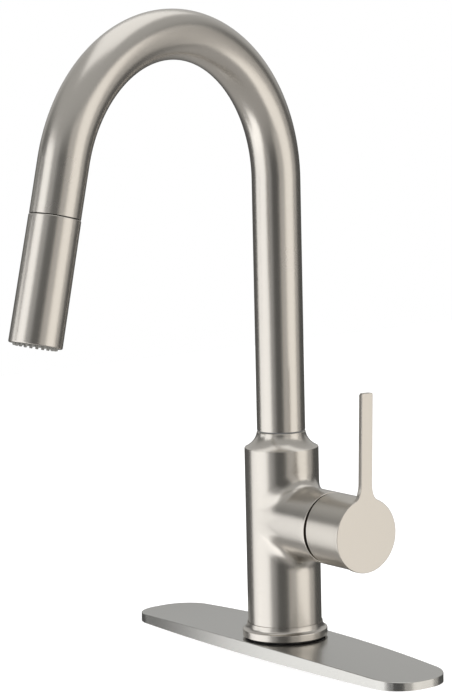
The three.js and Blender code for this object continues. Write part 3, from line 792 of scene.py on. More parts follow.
@dataclass
class DeckPlate:
    """Long cover plate with round ends, bowed sides and a shallow crown along its length."""

    corner: float = 0.0196
    corner_steps: int = 18
    bow: float = 0.00435
    wall: float = 0.0015
    end_height: float = 0.0047
    edge_radius: float = 0.0005
    edge_steps: int = 4
    rim: float = 0.001  # width of the band inside the rounded edge
    foot: float = 0.001  # height of the wall that the crown leaves alone
    middle: int = 5  # strips on either side of the hole that stay one face
    strips: int = 18
    end_cuts: tuple[float, ...] = (0.15, 0.4, 0.65, 0.85)  # shares of the round end
    sliver: float = 0.00002  # shorter edges are closed up
    level: float = 0.99  # faces that point up at least this much are level
    hole: float = 0.0179
    hole_sides: int = 96

    def crown(self, x: float, half: float, top: float) -> float:
        """Height of the top at a distance along the plate."""
        return top - (top - self.end_height) * (x / half) ** 2

    def slab(self, half: float, width: float, low: float, top: float) -> Mesh:
        """The plate before its crown: bowed sides, round ends and a rounded upper edge.

        Args:
            half: Half of its length.
            width: Half of its width at the middle.
            low: Its underside.
            top: Its upper face.

        Returns:
            The closed slab.
        """
        made = bmesh.new()
        flat = width - self.bow
        corners = [(half, flat), (-half, flat), (-half, -flat), (half, -flat)]
        made.faces.new([made.verts.new((x, y, low)) for x, y in corners])
        bevel(made, made.verts[:], self.corner, self.corner_steps, "VERTICES", clamp=False)
        sides = [edge for edge in made.edges if edge.calc_length() > half]
        bmesh.ops.subdivide_edges(made, edges=sides, cuts=2 * self.strips - 1)
        bmesh.ops.dissolve_faces(made, faces=made.faces[:], use_verts=False)
        turn = half - self.corner
        for vertex in made.verts:
            if abs(vertex.co.x) < turn - NEAR:
                lift = self.bow * (1 - (vertex.co.x / turn) ** 2)
                vertex.co.y += math.copysign(lift, vertex.co.y)
        raised(made, top - low)
        edges = [e for e in made.edges if all(v.co.z > top - NEAR for v in e.verts)]
        bevel(made, edges, self.edge_radius, self.edge_steps, clamp=False)
        return made

    def cut(self, made: Mesh, x: float) -> None:
        """Divides the plate along planes at x on both sides of the middle.

        Args:
            made: The plate.
            x: Their distance from the middle.
        """
        for side in (-x, x):
            bmesh.ops.bisect_plane(
                made, geom=whole(made), dist=NEAR, plane_co=(side, 0, 0), plane_no=(1, 0, 0)
            )

    def open_middle(self, made: Mesh, top: float) -> None:
        """Makes the hole for the shank in the middle face.

        Args:
            made: The plate.
            top: Its upper face.
        """
        upper = [face for face in made.faces if face.normal.z > self.level]
        middle = min(upper, key=lambda face: face.calc_center_median().length)
        rim = middle.edges[:]
        bmesh.ops.delete(made, geom=[middle], context="FACES_ONLY")
        circle = bmesh.ops.create_circle(
            made,
            cap_ends=False,
            radius=self.hole,
            segments=self.hole_sides,
            matrix=Matrix.Translation((0, 0, top)),
        )["verts"]
        ring = {edge for vertex in circle for edge in vertex.link_edges}
        bmesh.ops.triangle_fill(made, use_beauty=True, edges=[*rim, *ring], normal=(0, 0, 1))

    def build(self) -> None:
        """Makes the plate's shell and stands it on the worktop."""
        low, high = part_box("deck_plate")
        half = high.x
        made = self.slab(half, high.y, low.z, high.z)
        under = [face for face in made.faces if face.calc_center_median().z < low.z + NEAR]
        bmesh.ops.delete(made, geom=under, context="FACES_ONLY")
        upper = max(made.faces, key=lambda face: face.calc_center_median().z)
        bmesh.ops.inset_region(made, faces=[upper], thickness=self.rim, use_even_offset=True)
        turn = half - self.corner
        self.cut(made, turn * self.middle / self.strips)
        self.open_middle(made, high.z)
        for step in range(self.middle + 1, self.strips):
            self.cut(made, turn * step / self.strips)
        for share in self.end_cuts:
            self.cut(made, turn + self.corner * share)
        bmesh.ops.dissolve_degenerate(made, edges=made.edges[:], dist=self.sliver)
        for vertex in made.verts:
            if vertex.co.z > low.z + self.foot:
                vertex.co.z += self.crown(vertex.co.x, half, high.z) - high.z
        face_out(made)
        plate = Form().add(made).piece(
            "cover_plate",
            "body",
            Finish.plate_nickel,
            lay=length_lay,
            stands_for=["deck_plate"],
        )
        wall = plate.modifiers.new("wall", "SOLIDIFY")
        wall.thickness = self.wall
        wall.offset = -1.0
        plate.modifiers.move(1, 0)


@dataclass
class BaseRing:
    """Ring at the foot of the body: a short upright edge under a hollow curve."""

    edge_height: float = 0.0043
    hole: float = 0.0179
    flange: float = 0.0013
    broken: float = 0.0003  # how far its corners are broken
    cove_steps: int = 14
    sides: int = 128

    def build(self, body_radius: float) -> None:
        """Makes the ring round the body.

        Args:
            body_radius: Radius of the body.
        """
        low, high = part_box("base_ring")
        edge = low.z + self.edge_height
        inner = body_radius + FIT
        top = (inner + self.broken, high.z)
        cove = curve((high.x - 0.0005, edge), (inner + 0.0004, edge), top, self.cove_steps)
        outline = [
            (self.hole, low.z),
            (high.x - self.broken, low.z),
            (high.x, low.z + self.broken),
            (high.x, edge - 0.0007),
            (high.x - 0.0001, edge - self.broken),
            *cove,
            (inner, high.z),
            (inner, low.z + self.flange),
            (self.hole, low.z + self.flange),
        ]
        Form().turned(outline, self.sides).piece(
            "foot_ring", "body", Finish.brushed_nickel, stands_for=["base_ring"]
        )


# ---- Body with its side barrel --------------------------------------------------------------


@dataclass
class Body:
    """One casting: upright body, hollow-curved shoulder, neck, and the barrel on its side."""

    radius: float = 0.0215
    bore: float = 0.0176
    shoulder: float = 0.1201
    shoulder_steps: int = 16
    neck_radius: float = 0.0141
    neck_bore: float = 0.0118
    neck_seat: float = 0.103
    broken: float = 0.0003  # how far the neck's upper edge is broken
    barrel_radius: float = 0.0208
    barrel_bore: float = 0.0177
    barrel_depth: float = 0.0095
    fillet: float = 0.0092
    fillet_steps: int = 14
    side_fillet: float = 0.0050
    tuck: float = 0.0012  # how far the fillet goes on under the body's surface
    sunk: float = 0.00006  # and how deep
    widest_turn: float = math.radians(84)
    lay_start: float = 0.0225  # from here out the brush lines run round the barrel
    lay_radius: float = 0.0265
    sides: int = 128

    def upright(self, low: float, top: float) -> Form:
        """The body's wall, turned in one outline.

        Args:
            low: Its foot.
            top: The end of its neck.

        Returns:
            The wall.
        """
        neck = curve(
            (self.radius - 0.0006, self.shoulder),
            (self.neck_radius + 0.0009, self.shoulder + 0.0031),
            (self.neck_radius, top - self.broken),
            self.shoulder_steps,
        )
        outline = [
            (self.bore, low),
            (self.radius, low),
            (self.radius, self.shoulder - 0.0008),
            (self.radius - 0.0002, self.shoulder - 0.0002),
            *neck,
            (self.neck_radius - self.broken, top),
            (self.neck_bore, top),
            (self.neck_bore, self.neck_seat),
            (self.bore, self.neck_seat),
        ]
        return Form().turned(outline, self.sides)

    def joint_line(self, angle: float, middle: float) -> tuple[Vector, Vector, Vector]:
        """The fillet between barrel and body at one angle round the barrel.

        Args:
            angle: Round the barrel's axis, from +Y upwards.
            middle: Height of the barrel's axis.

        Returns:
            Where the fillet leaves the barrel, the corner that it rounds, and where it
            meets the body.
        """
        across, up = math.cos(angle), math.sin(angle)
        beside = self.barrel_radius * across
        turn = math.asin(beside / self.radius)
        reach = self.side_fillet + (self.fillet - self.side_fillet) * up**2
        turn += across * reach / self.radius
        turn = max(-self.widest_turn, min(self.widest_turn, turn))
        height = middle + (self.barrel_radius + reach) * up
        meets = Vector((self.radius * math.cos(turn), self.radius * math.sin(turn), height))
        corner_x = (self.radius - math.sin(turn) * beside) / math.cos(turn)
        corner = Vector((corner_x, beside, middle + self.barrel_radius * up))
        leaves = corner + Vector(((meets - corner).length, 0, 0))
        return leaves, corner, meets

    def barrel(self, middle: float, end: float) -> Mesh:
        """The barrel, from inside its mouth back through the fillet and under the body.

        Args:
            middle: Height of its axis.
            end: Where its mouth is, along X.

        Returns:
            The shell.
        """
        made = bmesh.new()
        bmesh.ops.create_circle(made, cap_ends=False, radius=1.0, segments=self.sides)
        angles = [2 * math.pi * step / self.sides for step in range(self.sides)]
        lines = [self.joint_line(angle, middle) for angle in angles]

        def place(loop: list[Point], spot: Callable[[int], Vector]) -> None:
            """Puts each point of a loop where spot says."""
            for index, vertex in enumerate(loop):
                vertex.co = spot(index)

        def rim(radius: float, out: float) -> Callable[[int], Vector]:
            """A circle round the barrel's axis."""
            return lambda index: Vector(
                (out, radius * math.cos(angles[index]), middle + radius * math.sin(angles[index]))
            )

        def fillet(t: float) -> Callable[[int], Vector]:
            """A loop along the fillet: 0 on the barrel, 1 on the body."""
            one, two, three = (1 - t) ** 2, 2 * t * (1 - t), t**2
            return lambda index: sum(
                (share * at for share, at in zip((one, two, three), lines[index])), Vector()
            )

        def under(index: int) -> Vector:
            """A point under the body's surface, past the fillet's edge.

            Args:
                index: Its number round the barrel.

            Returns:
                The point.
            """
            _, corner, meets = lines[index]
            past = meets + (meets - corner).normalized() * self.tuck
            scale = (self.radius - self.sunk) / math.hypot(past.x, past.y)
            return Vector((past.x * scale, past.y * scale, past.z))

        inner, outer = self.barrel_bore, self.barrel_radius
        mouth = [
            (inner, end - self.barrel_depth),
            (inner, end - 0.0004),
            (inner + 0.0003, end - 0.0001),
            (inner + 0.0005, end),
            (outer - 0.0005, end),
            (outer - 0.00015, end - 0.00015),
            (outer, end - 0.0005),
            (outer, end - 0.004),
        ]
        steps = self.fillet_steps
        stations = [
            *[rim(radius, out) for radius, out in mouth],
            *[fillet(step / steps) for step in range(steps + 1)],
            under,
        ]
        loop = made.verts[:]
        place(loop, stations[0])
        for station in stations[1:]:
            last = set(loop)
            edges = [e for e in made.edges if last.issuperset(e.verts)]
            fresh = set(points_of(bmesh.ops.extrude_edge_only(made, edges=edges)["geom"]))
            loop = [
                next(e.other_vert(v) for e in v.link_edges if e.other_vert(v) in fresh)
                for v in loop
            ]
            place(loop, station)
        face_out(made)
        return made

    def lay(self, point: Vector) -> Vector:
        """Brush lines round the body, and round the barrel where it stands out.

        Args:
            point: The point.

        Returns:
            Its pattern place.
        """
        height = point.z - JOINTS["handle_temperature"]["pos_m"][2]
        from_axis = math.hypot(point.y, height)
        if point.x > self.lay_start and from_axis < self.lay_radius:
            return Vector((point.y, height, point.x + from_axis))
        return round_lay(point)

    def build(self) -> None:
        """Makes the casting."""
        low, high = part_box("body_shell")
        middle = JOINTS["handle_temperature"]["pos_m"][2]
        self.upright(low.z, high.z).add(self.barrel(middle, high.x)).piece(
            "faucet_body",
            "body",
            Finish.brushed_nickel,
            lay=self.lay,
            stands_for=["body_shell"],
        )


# ---- Handle ---------------------------------------------------------------------------------


@dataclass
class Handle:
    """Drum with a rimmed face, and a slim lever that runs flush out of that face."""

    drum_radius: float = 0.0208
    rim_radius: float = 0.0214
    rim_width: float = 0.0026
    rim_bevel: float = 0.0004
    rim_steps: int = 112
    wall: float = 0.0032
    face_thickness: float = 0.0066
    gap_top: float = 0.0012
    gap_bottom: float = 0.0032
    lever_length: float = 0.0808
    lever_width: float = 0.0080
    lever_thickness: float = 0.0042
    lever_bevel: float = 0.0014  # rounding of the lever's back
    bevel_steps: int = 4
    face_skin: float = 0.0009  # how far the lever's thicker part stays behind its face
    tip_corner: float = 0.0011
    draft: float = 0.17  # how much narrower the lever gets towards its back
    flare: float = 0.0056
    boss_radius: float = 0.0078
    boss_bore: float = 0.0038
    boss_gap: float = 0.0012
    boss_sides: int = 48
    drum_sides: int = 128
    drum_lap: float = 0.0004  # how far the drum's wall goes into the rimmed face
    broken: float = 0.0003  # how far the edges of drum and boss are broken
    within: float = 0.00003  # how far the lever's back stays inside its face
    face: float = field(default_factory=lambda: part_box("handle")[1].x)

    def frame(self) -> Matrix:
        """The handle's own frame.

        Returns:
            The frame: x to the back, y up the lever, z out along the barrel.
        """
        basis = Matrix(((0, 0, 1, 0), (1, 0, 0, 0), (0, 1, 0, 0), (0, 0, 0, 1)))
        axis = JOINTS["handle_flow"]["axis"]
        turn = Matrix.Rotation(math.atan2(axis[2], axis[1]), 4, "Z")
        middle = JOINTS["handle_flow"]["pos_m"][2]
        return Matrix.Translation((0, 0, middle)) @ basis @ turn

    def face_outline(self) -> list[tuple[float, float]]:
        """Outline of disc and lever together.

        Returns:
            Its points, from the lever's right root round the disc and the lever.
        """
        half, tip, corner = self.lever_width / 2, self.lever_length, self.tip_corner
        start = math.asin((half + self.flare * 0.62) / self.rim_radius)
        steps = self.rim_steps
        turns = [start + (2 * math.pi - 2 * start) * i / steps for i in range(steps + 1)]
        disc = [(self.rim_radius * math.sin(a), self.rim_radius * math.cos(a)) for a in turns]
        left, right = disc[-1], disc[0]
        top = left[1] + self.flare * 1.75
        bend_y = left[1] + self.flare * 0.38
        return [
            *disc,
            *curve(left, (-half, bend_y), (-half, top), 12)[1:],
            *curve((-half, tip - corner), (-half, tip), (-half + corner, tip), 5),
            *curve((half - corner, tip), (half, tip), (half, tip - corner), 5),
            *curve((half, top), (half, bend_y), right, 12)[:-1],
        ]

    def spine_outline(self) -> list[tuple[float, float]]:
        """Outline of the thicker part behind the lever's face.

        Returns:
            Its points, from the lower left corner.
        """
        half = self.lever_width / 2 - self.within
        tip, corner = self.lever_length, self.tip_corner
        root = self.drum_radius * 0.9
        spread = half + self.flare * 0.5
        foot, bend_y, top = root + 0.0004, root + 0.0022, root + 0.0094
        return [
            (-spread, root - 0.004),
            (spread, root - 0.004),
            (spread, root + 0.0003),
            *curve((spread, foot), (half, bend_y), (half, top), 10)[1:],
            (half, tip - corner),
            (half - corner, tip - self.within),
            (-half + corner, tip - self.within),
            (-half, tip - corner),
            *curve((-half, top), (-half, bend_y), (-spread, foot), 10)[:-1],
            (-spread, root + 0.0003),
        ]

    def slab(
        self, outline: Outline, low: float, high: float, front: float, back: float
    ) -> Mesh:
        """A flat piece with rounded front and back edges.

        Args:
            outline: Its shape.
            low: Its back, along z.
            high: Its front.
            front: Radius of the front edge.
            back: Radius of the back edge.

        Returns:
            The shell.
        """
        made = bmesh.new()
        made.faces.new([made.verts.new((x, y, low)) for x, y in outline])
        raised(made, high - low)
        bmesh.ops.recalc_face_normals(made, faces=made.faces[:])
        for level, radius in ((high, front), (low, back)):
            edges = [e for e in made.edges if all(abs(v.co.z - level) < NEAR for v in e.verts)]
            bevel(made, edges, radius, self.bevel_steps)
        return made

    def drum(self, end: float, back: float) -> Mesh:
        """The drum's wall and cavity, cut to the wedge-shaped gap behind it.

        Args:
            end: Where the body's barrel ends.
            back: Where the drum meets the rimmed face.

        Returns:
            The shell.
        """
        inner, outer = self.drum_radius - self.wall, self.drum_radius
        cavity = back - self.face_thickness + self.rim_width
        made = bmesh.new()
        row(made, [(0.0, cavity), (inner, cavity), (inner, end)])
        row(made, [(outer, end), (outer, back), (0.0, back)])
        spun(made, self.drum_sides)
        slope = (self.gap_bottom - self.gap_top) / (2 * self.drum_radius)
        bmesh.ops.bisect_plane(
            made,
            geom=whole(made),
            plane_co=(0, 0, end + (self.gap_top + self.gap_bottom) / 2),
            plane_no=(0, -slope, -1),
            clear_outer=True,
        )
        bmesh.ops.bridge_loops(made, edges=outer_rims(made))
        bmesh.ops.recalc_face_normals(made, faces=made.faces[:])
        soften(made, self.broken)
        return made

    def build(self) -> None:
        """Makes the handle."""
        face, back = self.face, self.face - self.rim_width
        rimmed = self.slab(self.face_outline(), back, face, self.rim_bevel, self.broken)
        low, high = face - self.lever_thickness, face - self.face_skin
        spine = self.slab(self.spine_outline(), low, high, 0.0002, self.lever_bevel)
        form = Form().add(rimmed).add(spine)
        for vertex in form.mesh.verts:
            spot = vertex.co
            share = max(0.0, min(1.0, (spot.y - self.rim_radius - 0.002) / self.flare))
            spot.x -= math.copysign(share * self.draft * (face - spot.z), spot.x)
        form.add(self.drum(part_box("body_shell")[1].x, back + self.drum_lap))
        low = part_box("bonnet_trim")[1].x + self.boss_gap
        high = face - self.face_thickness + self.broken
        inner, outer = self.boss_bore, self.boss_radius
        boss = [(inner, low), (outer, low), (outer, high), (inner, high)]
        form.turned(boss, self.boss_sides, self.broken).piece(
            "lever_handle",
            "handle",
            Finish.handle_nickel,
            self.frame(),
            lay=self.lay,
            stands_for=["handle"],
            slot="brushed_nickel",
        )

    def lay(self, point: Vector) -> Vector:
        """Brush lines along the lever and its face, and round the drum.

        Args:
            point: The point.

        Returns:
            Its pattern place.
        """
        if point.z < self.face - self.rim_width + 0.0002 and point.y < self.rim_radius:
            return round_lay(point)
        return upright_lay(point)


# ---- Spout, hose and spray head -------------------------------------------------------------


@dataclass
class Gooseneck:
    """Riser, bend and drop of the spout, in a frame whose -Y is the way it reaches."""

    radius: float = 0.014
    bore: float = 0.0128
    bend_start: float = 0.275
    bend_radius: float = 0.0859
    bend_steps: int = 88
    drop: float = 0.0293
    sides: int = 112
    edge_radius: float = 0.00022
    seat: float = 0.00015  # gap over the slip ring
    hose_radius: float = 0.006
    hose_sides: int = 32
    hose_start: float = -0.104
    hose_short: float = 0.0223  # from the head's seam back to the hose's fitting
    hose_gap: float = 0.004  # how far before the fitting the kept hose ends
    hose_lap: float = 0.006  # how far before the fitting the drawn hose starts
    hose_seat: float = 0.0005  # how far the drawn hose goes into the fitting
    slimmer: float = 0.00004  # how much slimmer the drawn hose is than the kept one
    drawn_steps: int = 60
    pull: float = 0.4
    ring_bore: float = 0.0099
    ring_neck: float = 0.0115
    ring_flange: float = 0.0136
    ring_lip: float = 0.00045

    @property
    def sweep(self) -> float:
        """How far the bend turns."""
        x, y, z = JOINTS["spray_pull"]["axis"]
        return math.atan2(math.hypot(x, y), z)

    @property
    def way(self) -> Vector:
        """The way the drop points."""
        return Vector((0, -math.sin(self.sweep), math.cos(self.sweep)))

    def frame(self) -> Matrix:
        """The spout's frame, turned as it stands at rest."""
        x, y, _ = JOINTS["spray_pull"]["axis"]
        return Matrix.Rotation(math.atan2(x, -y), 4, "Z")

    def end(self, drop: float) -> Vector:
        """A point of the centre line past the bend.

        Args:
            drop: Its distance from the end of the bend.

        Returns:
            The point, in the spout's frame.
        """
        out = self.bend_radius * (1 - math.cos(self.sweep))
        height = self.bend_start + self.bend_radius * math.sin(self.sweep)
        return Vector((0, -out, height)) + self.way * drop

    def head_frame(self) -> Matrix:
        """The spray head's frame: its origin is the seam and its z the way it pulls out."""
        turn = Matrix.Rotation(self.sweep, 4, "X")
        return self.frame() @ Matrix.Translation(self.end(self.drop)) @ turn

    def sleeve(self, radius: float, low: float, drop: float, sides: int) -> Mesh:
        """An open tube along the centre line.

        Args:
            radius: Its radius.
            low: Height of its lower end.
            drop: How much of the drop it follows.
            sides: Its sides.

        Returns:
            The tube.
        """
        made = bmesh.new()
        foot = Matrix.Translation((0, 0, low))
        bmesh.ops.create_circle(
            made, cap_ends=False, radius=radius, segments=sides, matrix=foot
        )
        grown = extended(made, made.edges[:], (0, 0, self.bend_start - low))
        top = points_of(grown)
        ring = [e for e in grown if isinstance(e, Edge) and all(v in top for v in e.verts)]
        last = bmesh.ops.spin(
            made,
            geom=ring,
            cent=(0, -self.bend_radius, self.bend_start),
            axis=(1, 0, 0),
            angle=self.sweep,
            steps=self.bend_steps,
        )["geom_last"]
        extended(made, [e for e in last if isinstance(e, Edge)], self.way * drop)
        return made

    def along(self, point: Vector) -> tuple[float, float, float]:
        """A point's place as if the tube were straight.

        Args:
            point: The point, in the spout's frame.

        Returns:
            Its places sideways, outwards and along the tube.
        """
        if point.y > -self.bend_radius and point.z <= self.bend_start:
            return point.x, point.y, point.z
        up = point.z - self.bend_start
        out = point.y + self.bend_radius
        angle = math.atan2(up, out)
        if angle < 0:
            angle += 2 * math.pi
        if angle <= self.sweep + 1e-4:
            across = math.hypot(up, out) - self.bend_radius
            return point.x, across, self.bend_start + angle * self.bend_radius
        offset = point - self.end(0.0)
        side = Vector((0, math.cos(self.sweep), math.sin(self.sweep)))
        run = self.bend_start + self.sweep * self.bend_radius
        return point.x, offset.dot(side), run + offset.dot(self.way)

    def brush_lay(self, point: Vector) -> Vector:
        """Brush lines round the tube, all the way along its bend."""
        return Vector(self.along(point))

    def hose_lay(self, point: Vector) -> Vector:
        """Angle round the hose and length along it."""
        side, out, run = self.along(point)
        return Vector((math.atan2(out, side), run, 0))

    def tube(self) -> None:
        """Makes the spout's tube, with its wall showing at both ends."""
        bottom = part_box("upper_bearing")[1].z + self.seat
        form = Form()
        for radius in (self.radius, self.bore):
            form.add(self.sleeve(radius, bottom, self.drop, self.sides))
        made = form.mesh
        rims = outer_rims(made)
        for lower in (True, False):
            ends = [e for e in rims if (e.verts[0].co.z < bottom + 1e-5) == lower]
            bmesh.ops.bridge_loops(made, edges=ends)
        bmesh.ops.recalc_face_normals(made, faces=made.faces[:])
        soften(made, self.edge_radius, 2)
        form.piece(
            "gooseneck",
            "spout",
            Finish.brushed_nickel,
            self.frame(),
            lay=self.brush_lay,
            stands_for=["spout_tube"],
        )

    def hose(self) -> None:
        """Makes the hose: what stays inside the spout, and what is drawn out of it."""
        kept_drop = self.drop - self.hose_short - self.hose_gap
        kept = self.sleeve(self.hose_radius, self.hose_start, kept_drop, self.hose_sides)
        bmesh.ops.holes_fill(kept, edges=outer_rims(kept))
        bmesh.ops.recalc_face_normals(kept, faces=kept.faces[:])
        Form().add(kept).piece(
            "hose_inside",
            "spout",
            Finish.braid,
            self.frame(),
            lay=self.hose_lay,
            stands_for=["spray_hose"],
            attribute=HOSE_LAY,
        )
        start, end = -self.hose_short - self.hose_lap, -self.hose_short + self.hose_seat
        drawn = bmesh.new()
        bmesh.ops.create_circle(
            drawn,
            cap_ends=True,
            radius=self.hose_radius - self.slimmer,
            segments=self.hose_sides,
            matrix=Matrix.Translation((0, 0, start)),
        )
        for _ in range(self.drawn_steps):
            top = max(vertex.co.z for vertex in drawn.verts)
            edges = [e for e in drawn.edges if all(v.co.z > top - SAME for v in e.verts)]
            extended(drawn, edges, (0, 0, (end - start) / self.drawn_steps))
        bmesh.ops.holes_fill(drawn, edges=outer_rims(drawn))
        bmesh.ops.recalc_face_normals(drawn, faces=drawn.faces[:])

        def drawn_lay(point: Vector) -> Vector:
            """The braid's place when the head is fully drawn out.

            Args:
                point: The point, in the head's frame.

            Returns:
                Its angle round the hose and its length along it.
            """
            share = (point.z - start) / (end - start)
            out = share * (end - start) + self.pull * share * share * (3 - 2 * share)
            return Vector((math.atan2(point.y, point.x), out, 0))

        at = self.head_frame()
        piece = Form().add(drawn).piece(
            "hose_drawn_out",
            "",
            Finish.braid,
            at,
            lay=drawn_lay,
            stands_for=["spray_hose"],
            attribute=HOSE_LAY,
        )
        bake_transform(piece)

    def bearing(self) -> None:
        """Makes the slip ring whose edge shows as the dark line under the spout."""
        low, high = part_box("upper_bearing")
        under = high.z - self.ring_lip
        outline = [
            (self.ring_bore, low.z),
            (self.ring_neck, low.z),
            (self.ring_neck, under),
            (self.ring_flange, under),
            (self.ring_flange, high.z),
            (self.ring_bore, high.z),
        ]
        Form().turned(outline).piece(
            "slip_ring", "body", Finish.grey_plastic, stands_for=["upper_bearing"]
        )

    def build(self) -> None:
        """Makes the tube, the hose and the slip ring."""
        self.tube()
        self.hose()
        self.bearing()


@dataclass
class SprayHead:
    """The spray head: a slim tapered sleeve with a ring of soft nozzles in its end."""

    length: float = 0.0695
    seam: float = 0.00035
    top_radius: float = 0.0142
    end_radius: float = 0.0146
    wall: float = 0.0013
    roof: float = 0.0019  # where the hollow behind the seam starts
    recess: float = 0.06  # where the hollow of the nozzles' end starts
    throat: float = 0.0103
    nozzles: int = 22
    nozzle_radius: float = 0.0011
    nozzle_reach: float = 0.0012
    pad_inner: float = 0.0090
    pad_outer: float = 0.0124
    pad_start: float = 0.0612
    pad_end: float = 0.0683
    ring_inner: float = 0.0056
    groove: float = 0.0004
    cup_radius: float = 0.0052
    cup_wall: float = 0.001
    cup_lip: float = 0.0016
    cup_start: float = 0.0529
    cup_depth: float = 0.0022  # how far the cup stays inside the sleeve's end
    sides: int = 112
    pad_sides: int = 88
    ring_sides: int = 72
    nozzle_sides: int = 14

    def radius_at(self, along: float) -> float:
        """Outside radius at a distance from the seam."""
        return self.top_radius + (self.end_radius - self.top_radius) * along / self.length

    def sleeve(self) -> Form:
        """The metal sleeve.

        Returns:
            The sleeve, with a small chamfer at the seam and a rolled end.
        """
        inner = self.end_radius - self.wall
        outline = [
            (self.throat, self.seam),
            (self.top_radius - 0.00055, self.seam),
            (self.top_radius - 0.00015, self.seam + 0.00025),
            *[(self.radius_at(along), along) for along in (0.001, 0.02, 0.045, 0.0688)],
            (self.end_radius - 0.00018, self.length - 0.00022),
            (self.end_radius - 0.0005, self.length),
            (inner + 0.0003, self.length),
            (inner, self.length - 0.0003),
            (inner, self.recess),
            (self.top_radius - self.wall, self.roof),
            (self.throat, self.roof),
        ]
        return Form().turned(outline, self.sides)

    def nozzle_pad(self) -> Form:
        """The soft pad.

        Returns:
            A ring with round shoulders and its tapered nozzles.
        """
        inner, outer, low, high = self.pad_inner, self.pad_outer, self.pad_start, self.pad_end
        ring = [(inner, low), (outer, low), (outer, high), (inner, high)]
        radius, tip = self.nozzle_radius, self.length + self.nozzle_reach
        nozzle = [
            (0.0, high - 0.0005),
            (radius, high - 0.0005),
            (radius * 0.97, high + 0.0003),
            (radius * 0.78, tip - 0.0003),
            (radius * 0.62, tip),
            (radius * 0.36, tip),
            (radius * 0.30, tip - 0.0007),
            (0.0, tip - 0.0009),
        ]
        made = Form().turned(nozzle, self.nozzle_sides, hollow=False).mesh
        bmesh.ops.translate(made, vec=(outer - radius, 0, 0), verts=made.verts[:])
        bmesh.ops.spin(
            made,
            geom=whole(made),
            cent=(0, 0, 0),
            axis=(0, 0, 1),
            angle=2 * math.pi * (self.nozzles - 1) / self.nozzles,
            steps=self.nozzles - 1,
            use_duplicate=True,
        )
        return Form().turned(ring, self.pad_sides, 0.0004).add(made)

    def face_ring(self) -> Form:
        """The stiff ring between pad and aerator.

        Returns:
            The ring, with a groove round it.
        """
        inner, outer = self.ring_inner, self.pad_inner - FIT
        low, high = self.pad_start, self.pad_end
        middle, deep = (inner + outer) / 2, high - self.groove
        outline = [
            (inner, low),
            (outer, low),
            (outer, high),
            (middle + self.groove, high),
            (middle + 0.0003, deep),
            (middle - 0.0003, deep),
            (middle - self.groove, high),
            (inner, high),
        ]
        return Form().turned(outline, self.ring_sides, 0.00012)

    def aerator(self) -> Form:
        """The aerator's housing.

        Returns:
            The housing, with its turned-in lip.
        """
        low, high, outer = self.cup_start, self.length - self.cup_depth, self.cup_radius
        outline = [
            (outer - self.cup_wall, low),
            (outer, low),
            (outer, high),
            (outer - self.cup_lip, high),
            (outer - self.cup_lip, high - self.cup_wall),
            (outer - self.cup_wall, high - self.cup_wall),
        ]
        return Form().turned(outline, self.ring_sides, 0.0002)

    def build(self, at: Matrix) -> None:
        """Makes what shows of the head.

        Args:
            at: Its frame.
        """
        for form, name, body, finish, node in (
            (self.sleeve(), "spray_sleeve", "wand", Finish.brushed_nickel, "wand_shell"),
            (self.nozzle_pad(), "spray_nozzles", "spray_face", Finish.grey_rubber, "nozzle_pad"),
            (self.face_ring(), "spray_face_ring", "spray_face", Finish.grey_plastic, "face_plate"),
            (self.aerator(), "aerator_cup", "spray_face", Finish.white_plastic, "aerator_housing"),
        ):
            form.piece(name, body, finish, at, stands_for=[node])


# ---- Carried-over CAD nodes -----------------------------------------------------------------


def dress_frame() -> None:
    """Gives every CAD node that still shows, or may show in a cutaway, its finish."""
    for name, node in frame["nodes"].items():
        slot = node.data.materials[0].name.split(".")[0] if node.data.materials else "steel"
        if slot not in Finish.__members__:
            log.warning("%s has the unknown slot %s", name, slot)
            slot = "steel"
        finish = Finish.wire_screen if name == "aerator_screen" else Finish[slot]
        if slot in ("brushed_nickel", "plate_nickel", "braid"):
            finish = Finish.steel
        node.data.materials.clear()
        node.data.materials.append(finish.material)
        log.info("%s keeps its CAD mesh in %s", name, finish.name)


# ---- Studio ---------------------------------------------------------------------------------


@dataclass
class Softbox:
    """A large soft light that faces the faucet."""

    name: str
    heading: float  # degrees: 0 stands on the sink's side, 90 on the handle's
    height: float
    distance: float
    width: float
    tall: float
    brightness: float
    tint: tuple[float, float, float] = (1.0, 1.0, 1.0)
    aim: tuple[float, float, float] = (0.02, -0.04, 0.16)

    def build(self) -> None:
        """Hangs the light. Its energy over four times its area is its brightness."""
        light = bpy.data.lights.new(self.name, "AREA")
        light.shape = "RECTANGLE"
        light.size, light.size_y = self.width, self.tall
        light.energy = 4.0 * self.brightness * self.width * self.tall
        light.color = self.tint
        made = placed(self.name, light)
        way = math.radians(self.heading)
        aim = Vector(self.aim)
        east, south = self.distance * math.sin(way), self.distance * math.cos(way)
        made.location = aim + Vector((east, -south, self.height - aim.z))
        made.rotation_euler = (aim - made.location).to_track_quat("-Z", "Y").to_euler()
        made.visible_camera = False


